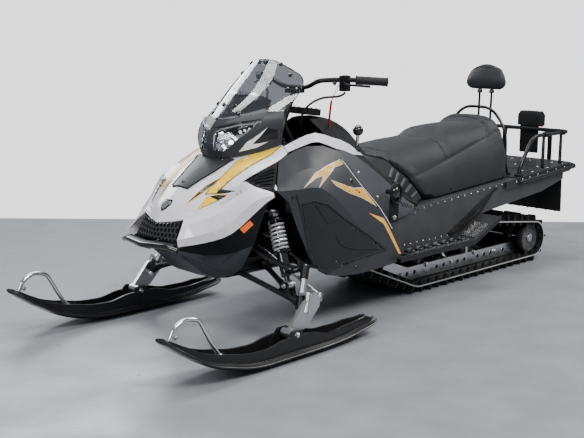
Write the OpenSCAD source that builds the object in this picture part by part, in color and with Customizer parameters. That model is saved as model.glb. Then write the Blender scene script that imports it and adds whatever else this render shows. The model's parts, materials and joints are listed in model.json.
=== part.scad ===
// Two-seat long-track snowmobile with a cargo rack, standing on its skis and track.
// +X is forward, +Y is the rider's left, +Z is up; the origin is on the floor under the middle.

/* [Running gear] */
// Distance between the two ski centre lines
ski_stance = 980; // [900:5:1100]
// Overall width of each ski
ski_w = 170; // [130:1:200]
// Radius of the ski pivot bolt
ski_bolt_r = 8; // [5:0.5:10]
// Radius of the kingpin in the spindle
kingpin_r = 6; // [4:0.5:8]
// Width of the endless track
track_w = 500; // [380:5:560]
// Thickness of the track belt
belt_t = 8; // [5:0.5:12]
// Height of the track lugs
lug_h = 32; // [20:1:45]
// Diameter of the rear idler wheels
idler_d = 178; // [150:1:200]
// Diameter of the drive sprockets
sprocket_d = 176; // [150:1:200]
// Radius of the drive and idler axles
axle_r = 14; // [9:0.5:18]

/* [Chassis] */
// Gap between the track's edge and the tunnel's side
track_gap = 16; // [10:1:40]
// Thickness of the tunnel sheet
sheet_t = 4; // [2:0.5:6]
// Width of each running board
board_w = 132; // [100:1:160]
// Outer width of the bodywork at the side panels
body_w = 744; // [700:2:800]
// Thickness of the moulded body panels
panel_t = 4; // [3:0.5:6]
// Thickness of the windshield
screen_t = 3; // [2:0.5:5]

/* [Tubes] */
// Radius of the handlebar tube
bar_r = 11; // [10:0.5:13]
// Radius of the cargo rack tube
rack_r = 11; // [8:0.5:14]
// Radius of the suspension arm tubes
arm_r = 11; // [8:0.5:14]
// Radius of the ski loop tube
loop_r = 9; // [7:0.5:12]
// Radius of the backrest rods
rod_r = 6; // [4:0.5:9]
// Radius of the bore in the tow hitch
hitch_r = 8; // [6:0.5:10]

/* [Seat] */
// Half width of the seat's base
seat_half = 222; // [190:1:240]
// Width of the backrest pad
pad_w = 250; // [200:5:300]
// Height of the backrest pad
pad_h = 140; // [110:5:160]

/* [Hidden] */
$fn = 48;
joint_gap = 0.3;      // working gap between faces of joined pieces
pin_gap = 0.05;       // radial clearance of a pin in its bore
seat_gap = 0.3;       // gap between a fixed piece and what carries it

// Track loop
belt_in = lug_h + belt_t;                 // height of the belt's inner face on the ground run
idler_r = idler_d / 2;
sprocket_r = sprocket_d / 2;
idler_x = -1217;
idler_z = belt_in + idler_r;
rail_front_x = -202;                      // front end of the flat ground run
drive_x = 280;
drive_z = 315;

// Tunnel
tunnel_in = track_w / 2 + track_gap;      // half width inside
tunnel_out = tunnel_in + sheet_t;
tunnel_front = 560;
tunnel_rear = -1450;
deck_slope = 0.0655;
hump_z = 472;                             // top of the tunnel over the drive sprockets
function top_z(x) = 426 - min(x, 0) * deck_slope;
slope_deg = atan(deck_slope);
board_z = 246;
board_front = 150;
board_kick = -430;                        // where the running board starts to rise
board_rear = -700;

// Front suspension, left side
ski_y = ski_stance / 2;
ski_bolt = [955, ski_y, 92];
ball_low = [862, ski_y - 28, 188];
ball_top = [810, ski_y - 56, 302];
king_axis = (ball_top - ball_low) / norm(ball_top - ball_low);
king_len = norm(ball_top - ball_low);
tie_out = [746, ski_y - 32, 200];
tie_in = [760, 115, 358];
tie_pin_r = 5;
shock_top = [806, 255, 512];
shock_low = [846, ski_y - 112, 246];
spring_r = 35;
spring_low = 126;                         // height of the spring's lower seat along the shock

// Steering column
column_top = [430, 0, 992];
column_dir = [-0.454, 0, 0.891];
column_low = column_top - column_dir * 430;
column_r = 14;

black = [0.07, 0.07, 0.08];
charcoal = [0.22, 0.23, 0.24];
silver = [0.82, 0.82, 0.85];
alloy = [0.72, 0.73, 0.75];

// ---- helpers ----
function unit(v) = v / max(norm(v), 0.000001);
function fit(p) = [p[0], p[1] * body_w / 744, p[2]];
function fit_all(g) = [for (row = g) [for (p = row) fit(p)]];
function flip(p) = [p[0], -p[1], p[2]];
// A row from the centre line outward becomes a full row from left to right.
function full(row) = concat([for (i = [len(row) - 1:-1:1]) row[i]], [for (p = row) flip(p)]);
function mirror_rows(g) = [for (row = g) full(row)];
// Smooth curve through four values at fraction t of the middle span.
function curve(a, b, c, d, t) = b + 0.5 * t * (c - a + t * (2 * a - 5 * b + 4 * c - d
                                + t * (3 * (b - c) + d - a)));
// Rows of a grid refined along its length.
function smooth(g, n) = [for (i = [0:len(g) - 2]) for (k = [0:n - (i == len(g) - 2 ? 0 : 1)])
    [for (j = [0:len(g[0]) - 1]) curve(g[max(i - 1, 0)][j], g[i][j], g[i + 1][j],
                                       g[min(i + 2, len(g) - 1)][j], k / n)]];
function normal_at(g, i, j) = unit(cross(
    g[min(i + 1, len(g) - 1)][j] - g[max(i - 1, 0)][j],
    g[i][min(j + 1, len(g[0]) - 1)] - g[i][max(j - 1, 0)]));

// Sheet of even thickness t behind the face of a grid of points.
module sheet(g, t) {
    rows = len(g);
    cols = len(g[0]);
    face = [for (row = g) for (p = row) p];
    back = [for (i = [0:rows - 1]) for (j = [0:cols - 1]) g[i][j] - normal_at(g, i, j) * t];
    m = rows * cols;
    function at(i, j) = i * cols + j;
    rim = concat([for (j = [0:cols - 1]) at(0, j)], [for (i = [1:rows - 1]) at(i, cols - 1)],
                 [for (j = [cols - 2:-1:0]) at(rows - 1, j)], [for (i = [rows - 2:-1:1]) at(i, 0)]);
    polyhedron(concat(face, back), concat(
        [for (i = [0:rows - 2]) for (j = [0:cols - 2]) [at(i, j), at(i, j + 1), at(i + 1, j + 1)]],
        [for (i = [0:rows - 2]) for (j = [0:cols - 2]) [at(i, j), at(i + 1, j + 1), at(i + 1, j)]],
        [for (i = [0:rows - 2]) for (j = [0:cols - 2])
            [m + at(i, j), m + at(i + 1, j + 1), m + at(i, j + 1)]],
        [for (i = [0:rows - 2]) for (j = [0:cols - 2])
            [m + at(i, j), m + at(i + 1, j), m + at(i + 1, j + 1)]],
        [for (k = [0:len(rim) - 1]) [rim[k], m + rim[k], rim[(k + 1) % len(rim)]]],
        [for (k = [0:len(rim) - 1])
            [rim[(k + 1) % len(rim)], m + rim[k], m + rim[(k + 1) % len(rim)]]]));
}

// Solid through closed sections of equal point counts, capped at both ends.
module loft(s) {
    n = len(s[0]);
    m = len(s);
    mid_a = [for (k = [0:2]) [for (p = s[0]) p[k]] * [for (p = s[0]) 1] / n];
    mid_b = [for (k = [0:2]) [for (p = s[m - 1]) p[k]] * [for (p = s[0]) 1] / n];
    polyhedron(concat([for (row = s) for (p = row) p], [mid_a, mid_b]), concat(
        [for (i = [0:m - 2]) for (j = [0:n - 1])
            [i * n + j, (i + 1) * n + (j + 1) % n, i * n + (j + 1) % n]],
        [for (i = [0:m - 2]) for (j = [0:n - 1])
            [i * n + j, (i + 1) * n + j, (i + 1) * n + (j + 1) % n]],
        [for (j = [0:n - 1]) [m * n, j, (j + 1) % n]],
        [for (j = [0:n - 1]) [m * n + 1, (m - 1) * n + (j + 1) % n, (m - 1) * n + j]]));
}

// Corners of a path replaced by short curves that start d before each corner.
function rounded(p, d, n = 4) = concat([p[0]], [for (i = [1:len(p) - 2])
    let (a = p[i] + unit(p[i - 1] - p[i]) * min(d, norm(p[i - 1] - p[i]) * 0.49),
         b = p[i] + unit(p[i + 1] - p[i]) * min(d, norm(p[i + 1] - p[i]) * 0.49))
    for (k = [0:n]) let (t = k / n) a * (1 - t) * (1 - t) + p[i] * 2 * t * (1 - t) + b * t * t],
    [p[len(p) - 1]]);

// Round tube swept along a path; the side vector keeps the rings from twisting.
module tube(p, r, side = [0, 0, 1], sides = 12) {
    n = len(p);
    rings = [for (i = [0:n - 1])
        let (d = unit(p[min(i + 1, n - 1)] - p[max(i - 1, 0)]),
             u = unit(cross(side, d)),
             v = cross(d, u))
        [for (k = [0:sides - 1]) p[i] + r * (u * cos(360 * k / sides) + v * sin(360 * k / sides))]];
    loft(rings);
}

// Straight round rod between two points.
module rod(a, b, r) {
    d = b - a;
    translate(a) rotate([0, acos(d[2] / norm(d)), atan2(d[1], d[0])]) cylinder(h = norm(d), r = r);
}

// Turns local +Z onto a direction at a point.
module along(p, d) {
    translate(p) rotate([0, acos(d[2] / norm(d)), atan2(d[1], d[0])]) children();
}

module mirrored() {
    children();
    mirror([0, 1, 0]) children();
}

// Seat stations: x, top height, underside height (0 where it lies on the tunnel)
seat_rows = [
    [6, 690, 672], [-50, 704, 632], [-148, 718, 552], [-250, 728, 466], [-380, 733, 0],
    [-470, 743, 0], [-524, 773, 0], [-640, 779, 0], [-810, 782, 0], [-868, 816, 0],
    [-930, 822, 0], [-962, 806, 0]];

// ---- chassis ----
module tunnel() {
    // The top steps up over the drive sprockets
    side = [[tunnel_front, hump_z], [130, hump_z], [40, top_z(0)], [0, top_z(0)],
            [tunnel_rear, top_z(tunnel_rear)], [tunnel_rear, 440], [-1224, 392], [board_rear, 344], [-640, 335],
            [board_kick, board_z], [tunnel_front, board_z]];
    top = [[tunnel_front, hump_z], [130, hump_z], [40, top_z(0)], [0, top_z(0)],
           [tunnel_rear, top_z(tunnel_rear)], [tunnel_rear, top_z(tunnel_rear) - sheet_t],
           [0, top_z(0) - sheet_t], [41, top_z(0) - sheet_t], [131, hump_z - sheet_t],
           [tunnel_front, hump_z - sheet_t]];
    color(alloy) difference() {
        union() {
            for (y = [tunnel_in, -tunnel_out])
                translate([0, y + sheet_t, 0]) rotate([90, 0, 0]) linear_extrude(sheet_t) polygon(side);
            translate([0, tunnel_in + 1, 0]) rotate([90, 0, 0])
                linear_extrude(2 * tunnel_in + 2) polygon(top);
            translate([tunnel_front - sheet_t, -tunnel_in - 1, board_z])
                cube([sheet_t, 2 * tunnel_in + 2, hump_z - board_z - 1]);
        }
        translate([drive_x, 0, drive_z]) rotate([90, 0, 0])
            cylinder(h = 3 * tunnel_out, r = axle_r + pin_gap, center = true);
    }
}

deck_front = seat_rows[len(seat_rows) - 1][0] - 6;
side_front = -860;
deck_rear = -1500;
deck_t = 6;
function deck_z(x) = top_z(x) + 0.1 + deck_t / cos(slope_deg);
deck_half = tunnel_out + 14;
module cargo_deck() {
    length = (deck_front - deck_rear) / cos(slope_deg);
    color(charcoal) translate([deck_front, 0, top_z(deck_front) + 0.1]) rotate([0, slope_deg, 0]) {
        translate([-length, -deck_half, 0]) cube([length, 2 * deck_half, deck_t]);
        mirrored() translate([-length, deck_half - 5, -42])
            cube([length + (side_front - deck_front) / cos(slope_deg), 5, 45]);
    }
}

module running_board() {
    // Bent strip: flat tread, then a rise towards the tail; its outer edge carries a tube.
    y0 = tunnel_out + seat_gap;
    strip = [[board_front, board_z], [board_kick, board_z], [board_rear + 60, board_z + 92],
             [board_rear + 60, board_z + 98], [board_kick, board_z + 6], [board_front, board_z + 6]];
    color(charcoal) {
        difference() {
            translate([0, y0 + board_w, 0]) rotate([90, 0, 0]) linear_extrude(board_w) polygon(strip);
            // Clear of the side panel's lower corner
            translate([64, y0 - 1, board_z - 20]) cube([200, fit([0, 380, 0])[1] - y0, 60]);
            for (i = [0:6]) translate([board_front - 150 - i * 66, y0 + 30, board_z - 5])
                cube([44, board_w - 60, 20]);
        }
        translate([0, y0 + board_w, 0]) rotate([90, 0, 0]) linear_extrude(8)
            polygon([[board_front, board_z - 14], [board_kick + 6, board_z - 14],
                     [board_rear + 60, board_z + 76], [board_rear + 60, board_z + 100],
                     [board_kick, board_z + 12], [board_front, board_z + 12]]);
        // Gusset from the kicked-up end to the tunnel's side
        translate([0, y0 + 5, 0]) rotate([90, 0, 0]) linear_extrude(5) difference() {
            polygon([[board_kick + 20, board_z + 8], [-650, board_z + 96], [-760, 440],
                     [-800, 455], [-770, 462], [board_kick + 60, board_z + 30]]);
            polygon([[-480, board_z + 42], [-640, board_z + 108], [-700, 400]]);
        }
    }
}
module running_board_left() { running_board(); }
module running_board_right() { mirror([0, 1, 0]) running_board(); }

module engine() {
    color(black) translate([585, -104, 268 + seat_gap]) cube([150, 208, 298]);
}

frame_half = 120;
frame_z = 258;
module front_frame() {
    // Box of two pierced side plates, floor and cross members between tunnel and nose
    plate = [[tunnel_front + seat_gap, frame_z], [950, frame_z], [1010, 330], [1010, 400], [878, 474],
             [816, 558], [750, 558], [722, 372], [tunnel_front + seat_gap, 372]];
    color(black) {
        mirrored() translate([0, frame_half, 0]) rotate([90, 0, 0]) linear_extrude(6) difference() {
            polygon(plate);
            polygon([[735, 312], [830, 312], [830, 390], [752, 390], [735, 362]]);
            polygon([[860, 300], [940, 300], [970, 350], [860, 400]]);
        }
        translate([tunnel_front + seat_gap, -frame_half + 3, 262]) cube([380, 2 * frame_half - 6, 6]);
        translate([tunnel_front + seat_gap, -tunnel_in, 262]) cube([6, 2 * tunnel_in, 104]);
        for (x = [775, 990]) translate([x, -frame_half + 3, 385]) cube([12, 2 * frame_half - 6, 14]);
        // Column bearings on a pyramid of tubes
        difference() {
            union() {
                for (k = [12, 248]) along(column_low + column_dir * k, column_dir) cylinder(h = 34, r = 24);
                mirrored() {
                    rod(column_low + column_dir * 265 + [0, 10, 0], [786, 100, 536], 11);
                    rod(column_low + column_dir * 265 + [0, 10, 0], [372, 150, hump_z + 12], 11);
                    rod(column_low + column_dir * 27 + [0, 12, 0], [690, 73, 634], 8);
                }
            }
            along(column_low - column_dir * 30, column_dir) cylinder(h = 500, r = column_r + pin_gap);
        }
        rod([786, 3 - frame_half, 536], [786, frame_half - 3, 536], 11);
        // Shock tower: cross tube whose ends carry the shock eyes
        translate([shock_top[0], 0, shock_top[2]]) rotate([90, 0, 0])
            cylinder(h = 2 * (shock_top[1] - 25), r = 12, center = true);
    }
}

belly_rows = [
    [[1228, 0, 408], [1218, 90, 412], [1200, 140, 414], [1196, 146, 420]],
    [[1172, 0, 372], [1165, 75, 375], [1130, 140, 366], [1112, 172, 372]],
    [[1060, 0, 280], [1058, 100, 284], [1040, 165, 312], [1020, 215, 372]],
    [[1000, 0, 250], [1000, 120, 254], [985, 195, 300], [970, 240, 388]],
    [[940, 0, 248], [940, 130, 250], [940, 205, 300], [932, 262, 400]]];
module belly_pan() {
    color(charcoal) {
        sheet(fit_all(mirror_rows([for (i = [len(belly_rows) - 1:-1:0]) belly_rows[i]])), panel_t);
        // Floor under the engine bay
        translate([tunnel_front + 10, -frame_half - 20, frame_z - seat_gap - panel_t]) cube([395, 2 * frame_half + 40, panel_t]);
    }
}

// Black lower side between belly and hood, with the amber reflector
cheek_rows = [
    [[1228, 150, 408], [1210, 153, 426]],
    [[1112, 176, 376], [1112, 205, 442.4]],
    [[1020, 219, 376], [1030, 252.5, 466.4]],
    [[970, 244, 392], [948, 302.6, 550.2]],
    [[930, 266, 404], [905, 326, 590]]];
module lower_cheek() {
    color(black) sheet(fit_all(smooth(cheek_rows, 2)), panel_t);
}
module lower_cheek_left() { lower_cheek(); }
module lower_cheek_right() { mirror([0, 1, 0]) lower_cheek(); }

// ---- hood ----
hood_top = [
    [[1213, 0, 499], [1198, 42, 504], [1184, 84, 511], [1172, 122, 522]],
    [[1166, 0, 564], [1160, 45, 563], [1138, 100, 561], [1106, 168, 558]],
    [[1090, 0, 632], [1085, 56, 624], [1066, 125, 614], [1035, 208, 600]],
    [[985, 0, 694], [983, 88, 679], [975, 152, 672], [965, 232, 662]],
    [[890, 0, 748], [884, 120, 733], [880, 178, 722], [872, 244, 700]],
    [[790, 0, 778], [786, 146, 764], [786, 205, 754], [790, 258, 732]],
    [[700, 0, 796], [696, 176, 786], [706, 218, 778], [730, 252, 756]]];
hood_cheek = [
    [[1173, 124, 518], [1200, 140, 492], [1236, 154, 452], [1230, 152, 424]],
    [[1107, 170, 555], [1128, 192, 524], [1145, 206, 470], [1130, 204, 436]],
    [[1036, 210, 597], [1050, 236, 560], [1056, 254, 506], [1040, 254, 466]],
    [[966, 234, 659], [976, 272, 618], [984, 296, 576], [952, 306, 552]],
    [[932, 268, 640], [935, 300, 622], [938, 318, 603], [920, 322, 582]],
    [[882, 324, 617], [884, 330, 612], [886, 334, 608], [884, 334, 603]]];
module hood() {
    color(silver) {
        sheet([for (row = smooth(fit_all(mirror_rows(hood_top)), 3)) row], panel_t);
        mirrored() sheet(smooth(fit_all(hood_cheek), 3), panel_t);
    }
}

insert_rows = [
    [[1094, 0, 633], [1089, 50, 626]],
    [[1030, 0, 672], [1028, 66, 660]],
    [[985, 0, 698], [983, 82, 684]],
    [[930, 0, 729], [928, 98, 713]],
    [[896, 0, 749], [892, 110, 734]]];
module hood_insert() {
    color(black) translate([2, 0, 3]) sheet(fit_all(mirror_rows(insert_rows)), panel_t);
}

grille_rows = [
    [[1204, 0, 492], [1187, 60, 498], [1166, 114, 510]],
    [[1226, 0, 432], [1219, 66, 430], [1208, 128, 428]]];
module grille() {
    color(black) translate([5.5, 0, 4.5]) sheet(fit_all(mirror_rows([grille_rows[1], grille_rows[0]])), panel_t);
}

module front_bumper() {
    bow = [[1246, 168, 412], [1264, 126, 424], [1286, 0, 418], [1264, -126, 424], [1246, -168, 412]];
    color(black) {
        tube(rounded(bow, 26), 11);
        mirrored() tube([[1270, 62, 412], [1199, 62, 386]], 8);
    }
}

// ---- headlamp cowl, windshield and console ----
cowl_rows = [
    [[930, 0, 735.4], [910, 62, 739.4], [874, 116, 744.4], [800, 164, 762], [712, 198, 786]],
    [[942, 0, 790], [924, 58, 792], [880, 118, 806], [806, 170, 830], [706, 202, 850]],
    [[925, 0, 845], [908, 52, 850], [862, 112, 866], [790, 166, 886], [700, 200, 892]],
    [[890, 0, 884], [872, 50, 890], [818, 106, 905], [750, 160, 920], [686, 190, 924]]];
lamp_outline = [[930, 26, 768], [908, 66, 764], [884, 96, 790], [776, 150, 876], [868, 96, 868],
                [918, 24, 842]];
module lamp_prism(grow, depth) {
    c = [for (k = [0:2]) [for (p = lamp_outline) p[k]] * [for (p = lamp_outline) 1] / 6];
    d = [0.80, 0.52, 0.30];
    hull() for (p = lamp_outline) for (s = [-depth, depth])
        translate(fit(c + (p - c) * grow + d * s)) cube(1, center = true);
}
// Grid moved outward along its own normals
function raised(g, d) = [for (i = [0:len(g) - 1]) [for (j = [0:len(g[0]) - 1])
    g[i][j] + normal_at(g, i, j) * d]];
cowl_grid = smooth(fit_all(mirror_rows([for (i = [3:-1:0]) cowl_rows[i]])), 2);
module headlamp_cowl() {
    color(black) difference() {
        sheet(cowl_grid, panel_t);
        mirrored() lamp_prism(1.02, 90);
    }
}
module headlamps() {
    color([0.9, 0.92, 0.95]) mirrored() intersection() {
        lamp_prism(0.99, 90);
        sheet(raised(cowl_grid, 2), 14);
    }
}

screen_rows = [
    [[888, 0, 886], [870, 50, 892], [816, 106.5, 907], [748, 160.5, 922], [683, 190.5, 927]],
    [[838, 0, 930], [824, 54, 934], [776, 110, 944], [714, 164, 954], [648, 198, 958]],
    [[745, 0, 1005], [735, 58, 1007], [704, 112, 1010], [660, 162, 1008], [608, 202, 998]],
    [[668, 0, 1076], [661, 56, 1076], [638, 106, 1070], [606, 152, 1058], [574, 192, 1036]],
    [[618, 0, 1130], [612, 50, 1128], [598, 92, 1112], [580, 132, 1090], [562, 166, 1066]]];
module windshield() {
    color([0.7, 0.75, 0.8, 0.5])
        sheet(smooth(fit_all(mirror_rows([for (i = [4:-1:0]) screen_rows[i]])), 2), screen_t);
}

console_rows = [
    [[392, 0, 872], [392, 50, 869], [396, 106, 838], [404, 194, 786]],
    [[330, 0, 876], [326, 50, 872], [322, 112, 828], [316, 200.1, 765]],
    [[250, 0, 860], [248, 52, 855], [240, 118, 796], [226, 198, 714]],
    [[164, 0, 822], [162, 54, 815], [156, 124, 746], [146, 206, 650]],
    [[93, 0, 768], [92, 56, 760], [84, 132, 686], [72, 210, 592]],
    [[44, 0, 706], [42, 58, 700], [30, 134, 630], [10, 212, 542]]];
module console() {
    color(black) sheet(smooth(fit_all(mirror_rows(console_rows)), 2), panel_t);
}
module gauge_pod() {
    color(black) translate([362, 0, 881]) rotate([0, -8, 0]) {
        difference() {
            translate([-42, -58, 0]) cube([84, 116, 30]);
            translate([-34, -50, 22]) cube([68, 100, 20]);
        }
    }
}

// ---- side bodywork ----
panel_rows = [
    [[788, 262, 727], [834, 302, 670], [868, 336, 624], [842, 340, 600], [812, 342, 574]],
    [[744, 258, 746], [752, 316, 680], [756, 346, 620], [742, 350, 520], [700, 358, 330]],
    [[600, 238, 776], [612, 312, 696], [624, 352, 613], [612, 362, 440], [600, 370, 244]],
    [[411, 252, 742], [448, 320, 620], [480, 360, 510], [470, 368, 380], [455, 372, 222]],
    [[320, 308, 591], [352, 340, 500], [382, 366, 408], [376, 370, 320], [366, 372, 218]],
    [[180, 338, 440], [216, 356, 370], [250, 370, 310], [248, 371, 266], [244, 372, 222]],
    [[78, 362, 262], [110, 367, 250], [142, 372, 240], [142, 372, 234], [142, 372, 228]]];
module side_panel() {
    color(charcoal) sheet(smooth(fit_all([for (i = [6:-1:0]) panel_rows[i]]), 2), panel_t + 1);
    // Footwell floor lip under the panel
    color(black) translate([board_front + seat_gap, tunnel_out + seat_gap, board_z])
        cube([390, fit([0, 368, 0])[1] - tunnel_out - seat_gap, panel_t]);
}
module side_panel_left() { side_panel(); }
module side_panel_right() { mirror([0, 1, 0]) side_panel(); }

vent_rows = [
    [[952, 240, 658], [952, 244, 654]],
    [[872, 248, 694], [912, 288, 638]],
    [[796, 262, 724], [874, 326, 622]]];
module air_vent() {
    color(black) translate([0, -0.4, -0.2]) sheet(fit_all([for (i = [2:-1:0]) vent_rows[i]]), panel_t);
}
module air_vent_left() { air_vent(); }
module air_vent_right() { mirror([0, 1, 0]) air_vent(); }

trim_rows = [
    [[713.2, 222, 784], [723.2, 250, 761.6]],
    [[620, 212, 808], [604, 236, 782]],
    [[512, 204, 824], [520, 232, 788]],
    [[400, 202, 796], [410, 238, 750]],
    [[288, 204, 758], [300, 232, 716]],
    [[107, 218, 636], [112, 236, 606]],
    [[-60, 236, 508], [-62, 252, 480]],
    [[-164, 246, 448], [-146, 260, 446]]];
module side_trim() {
    color(silver) sheet(smooth(fit_all([for (i = [7:-1:0]) trim_rows[i]]), 2), panel_t);
}
module side_trim_left() { side_trim(); }
module side_trim_right() { mirror([0, 1, 0]) side_trim(); }

cover_rows = [
    [[404, 242, 750], [388, 262, 700], [350, 290, 620]],
    [[290, 238, 712.9], [292, 266, 650], [282, 300, 560]],
    [[110, 240, 603.9], [150, 276, 520], [176, 306, 444]],
    [[-60, 256, 477], [-34, 276.5, 440], [48, 289, 402]],
    [[-112, 264, 448], [-98, 274.6, 437], [-78, 274.5, 416]]];
module tank_cover() {
    color(charcoal) sheet(smooth(fit_all([for (i = [4:-1:0]) cover_rows[i]]), 2), panel_t);
}
module tank_cover_left() { tank_cover(); }
module tank_cover_right() { mirror([0, 1, 0]) tank_cover(); }

recoil = [118, 334, 538];
module recoil_handle() {
    color(black) {
        translate(fit(recoil)) rotate([90, 0, 0]) cylinder(h = 14, r = 34);
        translate(fit(recoil) + [0, 14, 0]) rotate([90, 0, 0]) cylinder(h = 15, r = 24);
        translate(fit(recoil) + [-28, -20, -150]) cube([56, 7, 160]);
        translate(fit(recoil) + [0, -14, 0]) rotate([90, 0, 0]) cylinder(h = 51.2, r = 12);
    }
}

module shift_lever() {
    color(black) {
        rod([238, 202, 725], [210, 184, 800], 7);
        translate([208, 183, 812]) sphere(r = 24);
    }
}

// ---- seat ----
function seat_section(r) = let (x = r[0], t = r[1], b = max(r[2], top_z(x) + seat_gap), h = t - b,
    w = seat_half * min(1, 0.80 + (14 - x) / 900),
    q = min(1, h / 250))
    [[x, 0, t], [x, w * 0.45, t - 6], [x, w * 0.66, t - 28 * q], [x, w * 0.84, t - 84 * q],
     [x, w, t - 190 * q], [x, w, b], [x, 0, b], [x, -w, b], [x, -w, t - 190 * q],
     [x, -w * 0.84, t - 84 * q], [x, -w * 0.66, t - 28 * q], [x, -w * 0.45, t - 6]];
module seat() {
    color(charcoal) loft([for (r = seat_rows) seat_section(r)]);
}

pad_x = -1057;
pad_z = 1008;
module backrest_pad() {
    color(charcoal) translate([pad_x, 0, pad_z]) hull() {
        for (y = [-1, 1]) {
            translate([0, y * (pad_w / 2 - 42), -pad_h / 2 + 42]) scale([0.8, 1, 1]) sphere(r = 42, $fn = 24);
            translate([-6, y * (pad_w / 2 - 62), pad_h / 2 - 54]) scale([0.8, 1, 1]) sphere(r = 36, $fn = 24);
        }
        translate([-6, 0, pad_h / 2 - 40]) scale([0.7, 1.9, 1]) sphere(r = 40, $fn = 24);
    }
}

module backrest_frame() {
    color(black) {
        for (y = [-38, 38]) rod([pad_x, y, pad_z - pad_h / 2 - seat_gap - 0.1], [pad_x + 12, y, deck_z(pad_x) + 20], rod_r);
        translate([pad_x - 20, 0, deck_z(pad_x - 20)]) rotate([0, slope_deg, 0])
            translate([0, -60, seat_gap]) cube([64, 120, 40]);
    }
}

module grab_hoop() {
    hoop = [[-985, 188, 640], [-985, 182, 740], [-985, 92, 850], [-985, -92, 850],
            [-985, -182, 740], [-985, -188, 640]];
    color(black) {
        tube(rounded(hoop, 60, 6), 8, [1, 0, 0]);
        mirrored() tube(rounded([[-985, 188, 644], [-985, 188, 560], [-1010, 188, deck_z(-1010) + 3.3]], 30), 8, [0, 1, 0]);
    }
}

// ---- cargo rack ----
rail_z = 700;
rack_half = 264;
module cargo_rack() {
    rail = [[-1000, rack_half, deck_z(-1000) + 4.4], [-1022, rack_half, 560], [-1130, rack_half, rail_z],
            [-1500, rack_half, rail_z], [-1500, -rack_half, rail_z],
            [-1130, -rack_half, rail_z], [-1022, -rack_half, 560], [-1000, -rack_half, deck_z(-1000) + 4.4]];
    color(black) {
        tube(rounded(rail, 50, 5), rack_r, [0.3, 0, 1]);
        // Pierced uprights
        mirrored() for (x = [-1250, -1430]) translate([x, rack_half - 6, 0]) rotate([90, 0, 0])
            linear_extrude(5) difference() {
                polygon([[-16, deck_z(x - 16) + 0.5], [16, deck_z(x + 16) + 1.5], [12, rail_z - 4], [-12, rail_z - 4]]);
                for (z = [560:35:665]) translate([0, z]) circle(r = 6);
            }
        for (y = [-150, 150]) translate([-1495, y - 14, deck_z(-1495) + 1]) cube([5, 28, rail_z - deck_z(-1495) - 6]);
    }
}

module tail_light() {
    color(black) {
        translate([-1500 - rack_r - seat_gap - 8, -60, 560]) cube([8, 120, 170]);
        translate([-1562, -72, 716]) hull() {
            cube([60, 144, 60]);
            translate([10, 10, 60]) cube([40, 124, 22]);
        }
    }
}

hitch_x = -1564;
hitch_z = 462;
hitch_t = 10;
module rear_bumper() {
    y = deck_half + 11 + seat_gap;
    upper = [[-960, y, 470], [-1538, y, 507], [-1576, deck_half - 50, 512],
             [-1576, -deck_half + 50, 512], [-1538, -y, 507], [-960, -y, 470]];
    color(black) {
        tube(rounded(upper, 36, 5), 11, [0, 0, 1]);
        // Drawbar plate with its pin hole, under the middle of the bumper
        difference() {
            translate([0, hitch_t / 2, 0]) rotate([90, 0, 0]) linear_extrude(hitch_t)
                polygon([[-1583, 506], [-1583, 456], [-1572, 444], [-1556, 444], [-1545, 456], [-1545, 480], [-1568, 506]]);
            translate([hitch_x, 0, hitch_z]) rotate([90, 0, 0]) cylinder(h = hitch_t + 2, r = hitch_r, center = true);
        }
    }
}

module snow_flap() {
    color(black) translate([tunnel_rear - 20, 0, top_z(tunnel_rear - 20) - 0.4])
        rotate([0, 14, 0]) rotate([0, 0, 90]) rotate([90, 0, 0]) linear_extrude(6) polygon([[-250, 0], [250, 0], [215, -294], [-215, -294]]);
}

// ---- track and its frame ----
// Outline of the loop at a distance off the belt's inner face
module loop_outline(off) {
    hull() {
        translate([idler_x, idler_z]) circle(r = idler_r + off);
        translate([rail_front_x, idler_z + 60]) circle(r = idler_r + 60 + off);
        translate([drive_x, drive_z]) circle(r = sprocket_r + off);
    }
}
module track() {
    color(black) translate([0, track_w / 2, 0]) rotate([90, 0, 0]) linear_extrude(track_w) difference() {
        loop_outline(belt_t + lug_h);
        loop_outline(0);
    }
}

carrier_x = -700;
carrier_z = 228;
carrier_r = 50;
rail_y = 150;
rail_t = 12;
module slide_frame() {
    rail = [[rail_front_x + 190, belt_in + 96], [rail_front_x + 40, belt_in + 34], [rail_front_x - 40, belt_in + seat_gap],
            [idler_x + 40, belt_in + seat_gap], [idler_x + 40, belt_in + 60], [idler_x + 130, belt_in + 72],
            [rail_front_x, belt_in + 72], [rail_front_x + 150, belt_in + 128]];
    color(alloy) {
        mirrored() translate([0, rail_y + rail_t, 0]) rotate([90, 0, 0]) linear_extrude(rail_t) polygon(rail);
        for (x = [-150, -560, -960]) translate([x, 0, belt_in + 46]) rotate([90, 0, 0])
            cylinder(h = 2 * rail_y + 4, r = 11, center = true);
        // Two swing arms up to the tunnel
        mirrored() {
            rod([-150, rail_y - 16, belt_in + 46], [60, rail_y - 16, 300], 12);
            rod([-560, rail_y - 16, belt_in + 46], [-380, rail_y - 16, 286], 12);
        }
        for (p = [[60, 300], [-380, 286]]) translate([p[0], 0, p[1]]) rotate([90, 0, 0])
            cylinder(h = 2 * (tunnel_in - seat_gap), r = 12, center = true);
        // Dampers inside the rails
        rod([-560, 0, belt_in + 46], [-390, 0, 280], 22);
        // Bracket and shaft of the upper carrier wheels
        mirrored() rod([carrier_x, rail_y + 6, belt_in + 46], [carrier_x, rail_y + 6, carrier_z], 9);
        translate([carrier_x, 0, carrier_z]) rotate([90, 0, 0]) cylinder(h = 2 * rail_y + 12, r = 9, center = true);
        rod([-150, 60, belt_in + 46], [40, 60, 290], 20);
    }
}

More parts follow.
